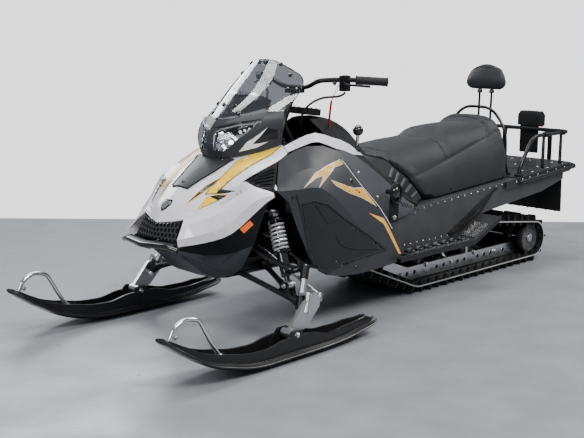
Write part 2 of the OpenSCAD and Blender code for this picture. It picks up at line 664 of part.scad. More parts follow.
module wheel(x, z, y, r, w) {
    translate([x, y + w / 2, z]) rotate([90, 0, 0]) cylinder(h = w, r = r);
}
module idler_wheels() {
    color(black) {
        for (y = [-205, -110, 110, 205]) wheel(idler_x, idler_z, y, idler_r - joint_gap, 28);
        wheel(idler_x, idler_z, 0, axle_r, 2 * 222);
        mirrored() for (x = [-350, -760]) wheel(x, belt_in + 66 + joint_gap, 110, 66, 24);
        mirrored() difference() {
            wheel(carrier_x, carrier_z, 110, carrier_r, 24);
            wheel(carrier_x, carrier_z, 110, 9 + pin_gap, 30);
        }
    }
}

module drive_axle() {
    color(alloy) {
        wheel(drive_x, drive_z, 0, axle_r, 2 * tunnel_out + 30);
        mirrored() for (y = [70, 170]) wheel(drive_x, drive_z, y, sprocket_r - joint_gap, 26);
    }
}

// ---- front suspension ----
eye_h = 56;
module a_arms() {
    arm_y = frame_half + 14 + seat_gap;
    low_a = [905, arm_y, 276];
    low_b = [745, arm_y, 276];
    top_a = [905, arm_y, 398];
    top_b = [745, arm_y, 398];
    // Ends of the upper arm's cross tube, wide enough for the shock to pass between
    cross_a = ball_top + [48, -26, 8];
    cross_b = ball_top + [-46, -26, 8];
    color(black) difference() {
        union() {
            for (p = [low_a, low_b]) rod(p, ball_low, arm_r);
            rod(top_a, cross_a, arm_r - 2);
            rod(top_b, cross_b, arm_r - 2);
            rod(cross_a, cross_b, arm_r);
            rod(ball_top + [0, -26, 8], ball_top, arm_r - 1);
            for (p = [ball_low, ball_top]) along(p - king_axis * eye_h / 2, king_axis) cylinder(h = eye_h, r = 17);
            for (p = [low_a, low_b, top_a, top_b]) translate(p - [22, 0, 0]) rotate([0, 90, 0]) cylinder(h = 44, r = 14);
            // Pin between two ears carries the shock's lower eye
            translate(shock_low) rotate([0, 90, 0]) cylinder(h = 46, r = 8, center = true);
            for (x = [-15 - joint_gap - 6, 15 + joint_gap]) translate([shock_low[0] + x, shock_low[1], shock_low[2]])
                rotate([90, 0, 90]) linear_extrude(6) polygon([[-30, -26], [26, -40], [14, 14], [-14, 14]]);
        }
        along(ball_low - king_axis * 60, king_axis) cylinder(h = king_len + 120, r = kingpin_r + pin_gap);
    }
}
module a_arms_left() { a_arms(); }
module a_arms_right() { mirror([0, 1, 0]) a_arms(); }

module shock() {
    d = unit(shock_top - shock_low);
    len_s = norm(shock_top - shock_low);
    color(silver) {
        rod(shock_low + d * 12, shock_low + d * 40, 11);
        rod(shock_low + d * 34, shock_low + d * 150, 22);
        rod(shock_low + d * 140, shock_top - d * 22, 13);
        along(shock_low + d * spring_low, d) cylinder(h = 8, r = spring_r + 4);
        along(shock_top - d * 30, d) cylinder(h = 8, r = spring_r + 4);
        along(shock_low + d * (spring_low + 8), d) spring(len_s - spring_low - 38, 7);
        translate(shock_low) rotate([0, 90, 0]) difference() {
            cylinder(h = 30, r = 18, center = true);
            cylinder(h = 40, r = 8 + pin_gap, center = true);
        }
        translate(shock_top) rotate([90, 0, 0]) difference() {
            cylinder(h = 24, r = 20, center = true);
            cylinder(h = 30, r = 12 + pin_gap, center = true);
        }
    }
}
module spring(h, turns) {
    steps = turns * 12;
    tube([for (i = [0:steps]) [(spring_r - 5) * cos(i * 30), (spring_r - 5) * sin(i * 30), 4 + (h - 8) * i / steps]],
         4.5, [0, 0, 1], 6);
}
module shock_left() { shock(); }
module shock_right() { mirror([0, 1, 0]) shock(); }

// Steered upright: lugs about the kingpin, leg down to the ski bolt, arm back to the tie rod
module spindle() {
    side = unit(cross(king_axis, [1, 0, 0]));
    lug = eye_h / 2 + joint_gap;
    arm_s = (tie_out - ball_low) * king_axis - 9.3 - 14;
    color(alloy) difference() {
        union() {
            along(ball_low + king_axis * lug, king_axis) cylinder(h = king_len - 2 * lug, r = 13);
            along(ball_low - king_axis * 32, king_axis) cylinder(h = king_len + 64, r = kingpin_r);
            // Fork about the lower arm's eye
            for (k = [-lug - 12, lug]) hull() {
                along(ball_low + king_axis * k, king_axis) cylinder(h = 12, r = 16, $fn = 32);
                along(ball_low + side * 37 + king_axis * k, king_axis) cylinder(h = 12, r = 13, $fn = 32);
            }
            along(ball_low + side * 37 - king_axis * (lug + 6), king_axis) cylinder(h = 2 * lug + 12, r = 11);
            // Flat forged leg down to the ski bolt
            translate([0, ball_low[1] + 42, 0]) rotate([90, 0, 0]) linear_extrude(16)
                polygon([for (q = [[-46, 44], [-70, 20], [-66, -14], [6, -86], [72, -108], [112, -90], [20, 14]])
                    [ball_low[0] + q[0], ball_low[2] + q[1]]]);
            translate(ski_bolt) rotate([90, 0, 0]) cylinder(h = 56, r = 20, center = true);
            // Steering arm
            hull() {
                along(ball_low + king_axis * arm_s, king_axis) cylinder(h = 14, r = 15, $fn = 32);
                along(tie_out - king_axis * 23.3, king_axis) cylinder(h = 14, r = 12, $fn = 32);
            }
            along(tie_out - king_axis * 20, king_axis) cylinder(h = 32, r = tie_pin_r);
        }
        translate(ski_bolt) rotate([90, 0, 0]) cylinder(h = 80, r = ski_bolt_r + pin_gap, center = true);
    }
}
module spindle_left() { spindle(); }
module spindle_right() { mirror([0, 1, 0]) spindle(); }

module tie_rod() {
    color(alloy) {
        difference() {
            union() {
                along(tie_out - king_axis * 9, king_axis) cylinder(h = 18, r = 11);
                rod(tie_out + unit(tie_in - tie_out) * 8, tie_in, 7);
            }
            along(tie_out - king_axis * 40, king_axis) cylinder(h = 80, r = tie_pin_r + pin_gap);
        }
    }
}
module tie_rod_left() { tie_rod(); }
module tie_rod_right() { mirror([0, 1, 0]) tie_rod(); }

// ---- skis ----
// x from the bolt, sole height, half width, rail height above the floor of the tray
ski_stations = [
    [-478, 52, 52, 4], [-440, 36, 62, 14], [-330, 12, 70, 26], [-200, 2, 76, 34], [-60, 0, 80, 62],
    [60, 0, 82, 62], [180, 0, 84, 44], [300, 14, 85, 40], [420, 52, 84, 34], [520, 106, 76, 26],
    [590, 152, 58, 16], [632, 182, 34, 4]];
function ski_section(s) = let (x = ski_bolt[0] + s[0], z = s[1], w = s[2] * ski_w / 170,
    k = 14 * max(0, min(1, (480 - abs(s[0])) / 120)) + 1, f = z + k + 12, h = s[3], y = ski_y, r = w * 0.62)
    [[x, y, z], [x, y + 16, z], [x, y + 22, z + k], [x, y + w, z + k + 4], [x, y + w, z + k + 12],
     [x, y + r, f + 2], [x, y + r - 3, f + 2 + h], [x, y + r - 11, f + 2 + h], [x, y + r - 13, f], [x, y, f],
     [x, y - r + 13, f], [x, y - r + 11, f + 2 + h], [x, y - r + 3, f + 2 + h], [x, y - r, f + 2],
     [x, y - w, z + k + 12], [x, y - w, z + k + 4], [x, y - 22, z + k], [x, y - 16, z]];
module ski() {
    color(black) difference() {
        union() {
            loft([for (s = ski_stations) ski_section(s)]);
            for (s = [-1, 1]) translate([0, ski_y + s * 38 - 5 + s * 1, 0]) translate([0, 10, 0]) rotate([90, 0, 0])
                linear_extrude(10) polygon([[ski_bolt[0] - 80, 30], [ski_bolt[0] + 80, 30], [ski_bolt[0] + 22, 112], [ski_bolt[0] - 22, 112]]);
        }
        translate(ski_bolt) rotate([90, 0, 0]) cylinder(h = 64, r = 24, center = true);
        translate(ski_bolt) rotate([90, 0, 0]) cylinder(h = 200, r = ski_bolt_r + pin_gap, center = true);
    }
    color(alloy) translate(ski_bolt) rotate([90, 0, 0]) cylinder(h = 100, r = ski_bolt_r, center = true);
}
module ski_left() { ski(); }
module ski_right() { mirror([0, 1, 0]) ski(); }

module ski_loop() {
    path = [[1550, ski_y, 186], [1530, ski_y, 228], [1478, ski_y, 252], [1416, ski_y, 238], [1362, ski_y, 144],
            [1322, ski_y, 84], [1236, ski_y, 48]];
    color(alloy) tube(rounded(path, 24), loop_r, [0, 1, 0]);
}
module ski_loop_left() { ski_loop(); }
module ski_loop_right() { mirror([0, 1, 0]) ski_loop(); }

// ---- steering ----
bar_bend = [368, 240, 1046];
grip_out = [272, 392, 1038];
grip_in = bar_bend + unit(grip_out - bar_bend) * 30;
bar_path = rounded([grip_out, bar_bend, [434, 150, 1040], [428, 70, 1006], [428, -70, 1006],
                    [434, -150, 1040], flip(bar_bend), flip(grip_out)], 26);
module handlebar() {
    color(black) {
        tube(bar_path, bar_r);
        rod(column_low, column_top, column_r);
        translate([404, -40, 980]) cube([50, 80, 17]);
    }
}
module hand_controls() {
    // Grips, brake lever block on the left, throttle block on the right
    d = unit(grip_out - grip_in);
    color(black) {
        mirrored() {
            difference() {
                rod(grip_in + d * 20, grip_out + d * 6, 17);
                rod(grip_in - d * 60, grip_out + d * 2, bar_r + 0.3);
            }
        }
        // Brake master and switch block on the left, throttle block on the right
        difference() {
            union() {
                translate([352, 226, block_z]) cube([36, 34, 1062 - block_z]);
                tube([[384, 250, 1028], [402, 290, 1026], [352, 372, 1020]], 5);
                translate([352, -262, throttle_z]) cube([36, 36, 1062 - throttle_z]);
                tube([[384, -250, 1024], [392, -280, 1020], [372, -316, 1014]], 5);
            }
            tube(bar_path, bar_r + 0.6);
        }
    }
}
block_z = 996;
throttle_z = 1004;
function cable_path(z) = rounded([[370, 243, z - seat_gap], [370, 243, z - 12], [384, 214, 970], [436, 170, 970],
                                  [480, 118, 930], [468, 74, 870], [454, 66, 846]], 40);
module control_cables() {
    color(black) {
        tube(cable_path(block_z), 5);
        mirror([0, 1, 0]) tube(cable_path(throttle_z), 5);
    }
}
module tether_cap() {
    color([0.75, 0.1, 0.12]) tube([[324, 111, 832.6], [362, 152, 904], [398, 192, 954]], 5);
}

tunnel();
cargo_deck();
running_board_left();
running_board_right();
engine();
front_frame();
belly_pan();
lower_cheek_left();
lower_cheek_right();
hood();
hood_insert();
grille();
front_bumper();
headlamp_cowl();
headlamps();
windshield();
console();
gauge_pod();
side_panel_left();
side_panel_right();
air_vent_left();
air_vent_right();
side_trim_left();
side_trim_right();
tank_cover_left();
tank_cover_right();
recoil_handle();
shift_lever();
seat();
backrest_pad();
backrest_frame();
grab_hoop();
cargo_rack();
tail_light();
rear_bumper();
snow_flap();
track();
slide_frame();
idler_wheels();
drive_axle();
a_arms_left();
a_arms_right();
shock_left();
shock_right();
tether_cap();
handlebar();
hand_controls();
control_cables();
spindle_left();
spindle_right();
tie_rod_left();
tie_rod_right();
ski_left();
ski_right();
ski_loop_left();
ski_loop_right();
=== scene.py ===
"""Looks of a two-seat long-track snowmobile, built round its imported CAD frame."""

import json
import math

import bmesh
import bpy
from mathutils import Matrix, Vector
from mathutils.bvhtree import BVHTree
from mathutils.kdtree import KDTree

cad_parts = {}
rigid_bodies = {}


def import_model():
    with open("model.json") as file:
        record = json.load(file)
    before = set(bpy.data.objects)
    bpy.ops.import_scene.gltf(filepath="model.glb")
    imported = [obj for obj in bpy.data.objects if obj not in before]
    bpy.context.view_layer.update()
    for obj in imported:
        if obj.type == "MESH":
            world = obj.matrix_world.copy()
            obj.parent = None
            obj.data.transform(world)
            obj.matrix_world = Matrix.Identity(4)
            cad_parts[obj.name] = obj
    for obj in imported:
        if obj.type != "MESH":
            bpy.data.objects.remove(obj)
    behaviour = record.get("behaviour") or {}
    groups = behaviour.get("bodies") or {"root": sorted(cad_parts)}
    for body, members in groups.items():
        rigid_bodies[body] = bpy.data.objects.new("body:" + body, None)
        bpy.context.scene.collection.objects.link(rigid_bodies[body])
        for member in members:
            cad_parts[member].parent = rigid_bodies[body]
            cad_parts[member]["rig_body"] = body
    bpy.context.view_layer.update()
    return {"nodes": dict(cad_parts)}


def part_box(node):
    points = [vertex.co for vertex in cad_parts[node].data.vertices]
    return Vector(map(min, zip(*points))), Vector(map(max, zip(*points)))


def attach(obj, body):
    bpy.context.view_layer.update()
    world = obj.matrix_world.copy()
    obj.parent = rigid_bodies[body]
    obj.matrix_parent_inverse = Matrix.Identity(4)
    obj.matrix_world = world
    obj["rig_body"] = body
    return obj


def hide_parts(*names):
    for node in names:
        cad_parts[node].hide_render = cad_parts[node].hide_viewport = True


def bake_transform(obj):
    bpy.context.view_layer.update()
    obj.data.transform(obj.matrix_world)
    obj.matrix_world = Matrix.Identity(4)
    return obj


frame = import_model()

bl_info = {
    "name": "Snowmobile looks",
    "version": (1, 0, 0),
    "blender": (4, 5, 0),
    "location": "View3D > Sidebar > Snowmobile",
    "description": "Builds the visible skin, graphics, seat, track and studio of a snowmobile",
    "category": "Object",
}

MM = 0.001  # metres in a millimetre; shapes are built in millimetres
BODY = "chassis"
CREASE_FROM = 50  # degrees above which a tube's edge stays sharp


# ---- user settings ----
class SledColours(bpy.types.PropertyGroup):
    """Colours that a user would change"""

    hood: bpy.props.FloatVectorProperty(
        name="Hood", description="Gloss colour of the hood and trim", subtype="COLOR",
        size=3, default=(0.78, 0.77, 0.83))
    accent: bpy.props.FloatVectorProperty(
        name="Accent", description="Yellow of the hood's lightning stripes", subtype="COLOR",
        size=3, default=(1.0, 0.62, 0.0))
    gold: bpy.props.FloatVectorProperty(
        name="Gold", description="Gold of the side panel's graphics", subtype="COLOR",
        size=3, default=(0.86, 0.47, 0.09))
    panel: bpy.props.FloatVectorProperty(
        name="Panel", description="Charcoal of the moulded side panels", subtype="COLOR",
        size=3, default=(0.034, 0.037, 0.042))
    black: bpy.props.FloatVectorProperty(
        name="Black", description="Black of frames, console and cheeks", subtype="COLOR",
        size=3, default=(0.0070, 0.0072, 0.0080))
    vinyl: bpy.props.FloatVectorProperty(
        name="Seat vinyl", description="Colour of seat and backrest", subtype="COLOR",
        size=3, default=(0.019, 0.021, 0.025))
    amber: bpy.props.FloatVectorProperty(
        name="Reflector", description="Amber of the side reflectors", subtype="COLOR",
        size=3, default=(1.0, 0.16, 0.0))


class SledSizes(bpy.types.PropertyGroup):
    """Sizes of the details that Blender adds"""

    lug_rows: bpy.props.IntProperty(
        name="Lug rows", description="Number of lug rows round the track", default=54, min=20,
                                    max=80)
    lug_height: bpy.props.FloatProperty(
        name="Lug height", description="Height of the track lugs", default=0.032,
        unit="LENGTH", min=0.01, max=0.06)
    hex_pitch: bpy.props.FloatProperty(
        name="Grille pitch", description="Distance between the grille's cells", default=0.0195,
        unit="LENGTH", min=0.008, max=0.04)
    bolt: bpy.props.FloatProperty(
        name="Bolt head", description="Radius of the common bolt head", default=0.007,
        unit="LENGTH", min=0.003, max=0.02)
    pad_cap: bpy.props.FloatProperty(
        name="Seat swell", description="How far a point of the seat's cover may swell",
        default=0.008, unit="LENGTH", min=0.0, max=0.03)
    seam: bpy.props.FloatProperty(
        name="Seam", description="Radius of the seat's piping", default=0.0021,
        unit="LENGTH", min=0.0005, max=0.006)


# ---- shader groups ----
def shader_group(name, inputs, outputs):
    """Empty node group with named inputs {name: (kind, default)} and outputs {name: kind}."""
    tree = bpy.data.node_groups.new(name, "ShaderNodeTree")
    for title, (kind, value) in inputs.items():
        socket = tree.interface.new_socket(title, in_out="INPUT", socket_type="NodeSocket" + kind)
        socket.default_value = value
    for title, kind in outputs.items():
        tree.interface.new_socket(title, in_out="OUTPUT", socket_type="NodeSocket" + kind)
    return tree, tree.nodes.new("NodeGroupInput"), tree.nodes.new("NodeGroupOutput")


def object_noise(tree, scale, detail, stretch=None):
    """Noise over object space; returns its node. scale is a number or a socket."""
    place = tree.nodes.new("ShaderNodeTexCoord")
    noise = tree.nodes.new("ShaderNodeTexNoise")
    noise.inputs["Detail"].default_value = detail
    source = place.outputs["Object"]
    if stretch:
        mapping = tree.nodes.new("ShaderNodeMapping")
        mapping.inputs["Scale"].default_value = stretch
        tree.links.new(source, mapping.inputs["Vector"])
        source = mapping.outputs["Vector"]
    tree.links.new(source, noise.inputs["Vector"])
    if isinstance(scale, (int, float)):
        noise.inputs["Scale"].default_value = scale
    else:
        tree.links.new(scale, noise.inputs["Scale"])
    return noise


def mix_colour(tree, fac, a, b, blend="MIX"):
    """Mix of two colour sockets; returns the result socket."""
    node = tree.nodes.new("ShaderNodeMix")
    node.data_type = "RGBA"
    node.blend_type = blend
    if isinstance(fac, float):
        node.inputs[0].default_value = fac
    else:
        tree.links.new(fac, node.inputs[0])
    tree.links.new(a, node.inputs[6])
    tree.links.new(b, node.inputs[7])
    return node.outputs[2]


def map_range(tree, value, low, high, to_low=0.0, to_high=1.0):
    """Value mapped from low..high; the limits may be numbers or sockets."""
    node = tree.nodes.new("ShaderNodeMapRange")
    tree.links.new(value, node.inputs["Value"])
    for title, number in (("From Min", low), ("From Max", high), ("To Min", to_low),
                          ("To Max", to_high)):
        if isinstance(number, (int, float)):
            node.inputs[title].default_value = number
        else:
            tree.links.new(number, node.inputs[title])
    return node.outputs["Result"]


def moulded_grain_group():
    """Cloudy tint, uneven gloss and fine pebble of a moulded or painted surface."""
    tree, given, out = shader_group(
        "Moulded Grain",
        {"Base": ("Color", (0.5, 0.5, 0.5, 1)), "Tint": ("Color", (0.4, 0.4, 0.4, 1)),
         "Scale": ("Float", 600.0), "Rough Low": ("Float", 0.3), "Rough High": ("Float", 0.5)},
        {"Color": "Color", "Roughness": "Float", "Height": "Float"})
    cloud = object_noise(tree, 5.0, 4.0)
    fine = object_noise(tree, given.outputs["Scale"], 3.0)
    soft = map_range(tree, cloud.outputs["Fac"], 0.35, 0.65)
    colour = mix_colour(tree, soft, given.outputs["Base"], given.outputs["Tint"])
    rough = map_range(tree, cloud.outputs["Fac"], 0.3, 0.7,
                      given.outputs["Rough Low"], given.outputs["Rough High"])
    tree.links.new(colour, out.inputs["Color"])
    tree.links.new(rough, out.inputs["Roughness"])
    tree.links.new(fine.outputs["Fac"], out.inputs["Height"])
    return tree


def edge_wear_group():
    """Paler or duller colour on the edges, broken up by noise."""
    tree, given, out = shader_group(
        "Edge Wear",
        {"Color": ("Color", (0.5, 0.5, 0.5, 1)), "Worn": ("Color", (0.6, 0.6, 0.6, 1)),
         "Amount": ("Float", 0.5)},
        {"Color": "Color", "Mask": "Float"})
    geometry = tree.nodes.new("ShaderNodeNewGeometry")
    rounded = tree.nodes.new("ShaderNodeBevel")
    rounded.samples = 4
    rounded.inputs["Radius"].default_value = 0.0022
    turn = tree.nodes.new("ShaderNodeVectorMath")
    turn.operation = "DOT_PRODUCT"
    tree.links.new(rounded.outputs["Normal"], turn.inputs[0])
    tree.links.new(geometry.outputs["Normal"], turn.inputs[1])
    edge = map_range(tree, turn.outputs["Value"], 0.985, 0.90, 0.0, given.outputs["Amount"])
    speck = object_noise(tree, 60.0, 4.0)
    patch = map_range(tree, speck.outputs["Fac"], 0.46, 0.60)
    both = tree.nodes.new("ShaderNodeMath")
    both.operation = "MULTIPLY"
    tree.links.new(edge, both.inputs[0])
    tree.links.new(patch, both.inputs[1])
    colour = mix_colour(tree, both.outputs[0], given.outputs["Color"], given.outputs["Worn"])
    tree.links.new(colour, out.inputs["Color"])
    tree.links.new(both.outputs[0], out.inputs["Mask"])
    return tree


def vinyl_grain_group():
    """Small cells with soft creases, as on coated seat cloth."""
    tree, given, out = shader_group(
        "Vinyl Grain", {"Scale": ("Float", 420.0)}, {"Height": "Float", "Mask": "Float"})
    place = tree.nodes.new("ShaderNodeTexCoord")
    cells = tree.nodes.new("ShaderNodeTexVoronoi")
    cells.feature = "DISTANCE_TO_EDGE"
    tree.links.new(place.outputs["Object"], cells.inputs["Vector"])
    tree.links.new(given.outputs["Scale"], cells.inputs["Scale"])
    wrinkle = object_noise(tree, 24.0, 5.0)
    ridge = map_range(tree, cells.outputs["Distance"], 0.0, 0.18)
    add = tree.nodes.new("ShaderNodeMath")
    add.operation = "MULTIPLY_ADD"
    add.inputs[1].default_value = 1.6
    tree.links.new(wrinkle.outputs["Fac"], add.inputs[0])
    tree.links.new(ridge, add.inputs[2])
    tree.links.new(add.outputs[0], out.inputs["Height"])
    tree.links.new(ridge, out.inputs["Mask"])
    return tree


def drawn_metal_group():
    """Fine lines along X and a mottled gloss, as on drawn or forged alloy."""
    tree, given, out = shader_group(
        "Drawn Metal",
        {"Base": ("Color", (0.7, 0.7, 0.7, 1)), "Tint": ("Color", (0.6, 0.6, 0.6, 1)),
         "Rough Low": ("Float", 0.2), "Rough High": ("Float", 0.4)},
        {"Color": "Color", "Roughness": "Float", "Height": "Float"})
    lines = object_noise(tree, 260.0, 4.0, stretch=(0.06, 1.0, 1.0))
    mottle = object_noise(tree, 14.0, 5.0)
    soft = map_range(tree, mottle.outputs["Fac"], 0.35, 0.65)
    colour = mix_colour(tree, soft, given.outputs["Base"], given.outputs["Tint"])
    rough = map_range(tree, lines.outputs["Fac"], 0.3, 0.7,
                      given.outputs["Rough Low"], given.outputs["Rough High"])
    tree.links.new(colour, out.inputs["Color"])
    tree.links.new(rough, out.inputs["Roughness"])
    tree.links.new(lines.outputs["Fac"], out.inputs["Height"])
    return tree


GROUPS = {}
FINISHES = {}


def shade(colour, factor):
    """Colour times a factor, with alpha."""
    return tuple(min(1.0, c * factor) for c in tuple(colour)[:3]) + (1.0,)


def finish(name, colour, rough, spread=0.12, metal=0.0, coat=0.0, scale=600.0, bump=0.12,
           depth=0.0004, tint=0.82, worn=None, kind="grain", clear=0.0, sheen=0.0, glow=0.0,
           spec=0.5):
    """Material built once from the shared groups and a Principled shader of its own."""
    if name in FINISHES:
        return FINISHES[name]
    mat = bpy.data.materials.new(name)
    mat.use_nodes = True
    tree = mat.node_tree
    shader = tree.nodes["Principled BSDF"]
    maker = {"grain": moulded_grain_group, "vinyl": moulded_grain_group,
             "metal": drawn_metal_group}[kind]
    base = tree.nodes.new("ShaderNodeGroup")
    base.node_tree = GROUPS.setdefault(maker.__name__, GROUPS.get(maker.__name__) or maker())
    base.inputs["Base"].default_value = shade(colour, 1.0)
    base.inputs["Tint"].default_value = shade(colour, tint)
    base.inputs["Rough Low"].default_value = max(0.02, rough - spread / 2)
    base.inputs["Rough High"].default_value = rough + spread / 2
    if "Scale" in base.inputs:
        base.inputs["Scale"].default_value = scale
    colour_out = base.outputs["Color"]
    height = base.outputs["Height"]
    if kind == "vinyl":
        vinyl = tree.nodes.new("ShaderNodeGroup")
        vinyl.node_tree = GROUPS.setdefault("vinyl", GROUPS.get("vinyl") or vinyl_grain_group())
        vinyl.inputs["Scale"].default_value = scale
        height = vinyl.outputs["Height"]
    if worn:
        wear = tree.nodes.new("ShaderNodeGroup")
        wear.node_tree = GROUPS.setdefault("wear", GROUPS.get("wear") or edge_wear_group())
        wear.inputs["Worn"].default_value = shade(worn, 1.0)
        tree.links.new(colour_out, wear.inputs["Color"])
        colour_out = wear.outputs["Color"]
    dent = tree.nodes.new("ShaderNodeBump")
    dent.inputs["Strength"].default_value = bump
    dent.inputs["Distance"].default_value = depth
    tree.links.new(height, dent.inputs["Height"])
    tree.links.new(dent.outputs["Normal"], shader.inputs["Normal"])
    tree.links.new(colour_out, shader.inputs["Base Color"])
    tree.links.new(base.outputs["Roughness"], shader.inputs["Roughness"])
    shader.inputs["Metallic"].default_value = metal
    shader.inputs["Specular IOR Level"].default_value = spec
    shader.inputs["Coat Weight"].default_value = coat
    shader.inputs["Coat Roughness"].default_value = 0.06
    shader.inputs["Transmission Weight"].default_value = clear
    shader.inputs["Sheen Weight"].default_value = sheen
    if glow:
        tree.links.new(colour_out, shader.inputs["Emission Color"])
        shader.inputs["Emission Strength"].default_value = glow
    FINISHES[name] = mat
    return mat


def make_finishes(sled):
    """Every finish of the machine, by its plain name."""
    black = sled.black
    grey_edge = (0.10, 0.10, 0.11)
    finish("hood_gloss", sled.hood, 0.22, 0.05, coat=0.45, scale=900, bump=0.02, tint=0.94,
           spec=0.40)
    # Painted shade: darker copy of the hood colour, laid over the upper flank facet
    finish("hood_painted_shade", shade(sled.hood, 0.80), 0.18, 0.05, coat=0.8, scale=900, bump=0.02,
           tint=0.94, spec=0.40)
    finish("stripe_yellow", sled.accent, 0.32, 0.06, coat=0.25, bump=0.02, tint=0.86)
    finish("stripe_gold", sled.gold, 0.34, 0.08, coat=0.2, bump=0.03, tint=0.72)
    finish("stripe_white", (0.86, 0.86, 0.88), 0.25, 0.06, coat=0.5, bump=0.02, tint=0.95)
    finish("stripe_black", (0.008, 0.008, 0.009), 0.25, 0.08, coat=0.4, bump=0.03)
    finish("panel_charcoal", sled.panel, 0.36, 0.10, scale=1100, bump=0.16, worn=grey_edge,
           tint=0.86, spec=0.28)
    finish("pocket_charcoal", shade(sled.panel, 0.62), 0.5, 0.12, scale=900, bump=0.3,
           worn=grey_edge, spec=0.20)
    finish("moulded_black", black, 0.42, 0.14, scale=900, bump=0.18, worn=(0.06, 0.06, 0.065),
           spec=0.22)
    finish("gloss_black", black, 0.14, 0.08, coat=0.6, scale=700, bump=0.03,
           worn=(0.05, 0.05, 0.05))
    finish("honeycomb", (0.10, 0.10, 0.105), 0.16, 0.08, metal=0.7, coat=0.5, bump=0.03)
    finish("frame_paint", black, 0.30, 0.12, scale=500, bump=0.12, worn=(0.14, 0.14, 0.14),
           spec=0.35)
    finish("belly_grey", (0.060, 0.066, 0.074), 0.40, 0.12, scale=900, bump=0.2, worn=grey_edge,
           spec=0.28)
    finish("tunnel_grey", (0.085, 0.088, 0.095), 0.36, 0.12, metal=0.5, kind="metal", bump=0.03,
           worn=(0.3, 0.3, 0.31), tint=0.86, spec=0.30)
    finish("board_paint", (0.028, 0.029, 0.032), 0.4, 0.14, metal=0.4, scale=500, bump=0.2,
           worn=(0.35, 0.35, 0.36), spec=0.30)
    finish("deck_paint", (0.040, 0.041, 0.044), 0.38, 0.14, metal=0.3, scale=500, bump=0.2,
           worn=(0.3, 0.3, 0.31), spec=0.30)
    finish("alloy", (0.60, 0.61, 0.63), 0.28, 0.14, metal=1.0, kind="metal", bump=0.03, tint=0.86)
    finish("forged_alloy", (0.60, 0.61, 0.63), 0.36, 0.14, metal=1.0, kind="metal", bump=0.2,
           tint=0.84)
    finish("plated_tube", (0.80, 0.80, 0.82), 0.16, 0.10, metal=1.0, kind="metal", bump=0.05,
           tint=0.92)
    finish("bolt_steel", (0.62, 0.62, 0.63), 0.24, 0.12, metal=1.0, kind="metal", bump=0.06)
    finish("chrome", (0.88, 0.88, 0.90), 0.06, 0.04, metal=1.0, bump=0.02, tint=0.95)
    finish("spring_white", (0.74, 0.75, 0.78), 0.24, 0.08, metal=0.6, coat=0.4, bump=0.05, tint=0.9)
    finish("rubber", (0.016, 0.016, 0.017), 0.62, 0.16, scale=350, bump=0.4,
           worn=(0.05, 0.05, 0.05), spec=0.20)
    finish("track_rubber", (0.014, 0.014, 0.015), 0.55, 0.2, scale=260, bump=0.5,
           worn=(0.055, 0.055, 0.055), spec=0.20)
    finish("belt_edge", (0.42, 0.42, 0.43), 0.6, 0.15, scale=300, bump=0.3, tint=0.75)
    finish("wheel_grey", (0.075, 0.078, 0.082), 0.4, 0.12, scale=500, bump=0.15,
           worn=(0.3, 0.3, 0.3))
    finish("grip_rubber", (0.020, 0.020, 0.022), 0.55, 0.12, scale=800, bump=0.35, spec=0.25)
    finish("ski_plastic", (0.010, 0.010, 0.011), 0.28, 0.16, scale=300, bump=0.10,
           worn=(0.06, 0.06, 0.06), spec=0.40)
    finish("seat_vinyl", sled.vinyl, 0.46, 0.12, kind="vinyl", scale=520, bump=0.28, depth=0.0008,
           tint=0.80, sheen=0.08, spec=0.25)
    finish("piping", (0.010, 0.010, 0.011), 0.4, 0.1, scale=900, bump=0.2)
    # Painted light: emission makes the amber reflectors glow, though they are no lamp
    finish("reflector_amber_painted_glow", sled.amber, 0.18, 0.06, coat=0.6, bump=0.3, scale=240, tint=0.8,
           glow=0.25)
    finish("tether_red", (0.60, 0.015, 0.02), 0.35, 0.1, scale=500, bump=0.1)
    finish("tail_red", (0.30, 0.006, 0.008), 0.15, 0.06, coat=0.6, bump=0.2, scale=260)
    finish("lamp_lens", (0.97, 0.98, 1.0), 0.03, 0.01, clear=1.0, bump=0.01, tint=1.0)
    finish("clear_screen", (0.90, 0.92, 0.94), 0.03, 0.01, clear=1.0, bump=0.01, tint=0.99)
    finish("smoked_screen", (0.07, 0.075, 0.085), 0.10, 0.04, clear=0.5, bump=0.02, tint=0.9)
    finish("gauge_glass", (0.012, 0.014, 0.018), 0.05, 0.03, coat=0.8, bump=0.01)
    finish("lamp_strip", (0.9, 0.93, 1.0), 0.2, 0.05, bump=0.02, glow=0.6)
    finish("floor", (0.30, 0.315, 0.34), 0.36, 0.18, scale=90, bump=0.05, depth=0.001, tint=0.80)


# ---- mesh tools ----
def axes_of(direction):
    """Two unit vectors square to a direction."""
    d = Vector(direction).normalized()
    side = Vector((0, 0, 1)) if abs(d.z) < 0.9 else Vector((1, 0, 0))
    u = side.cross(d).normalized()
    return d, u, d.cross(u)


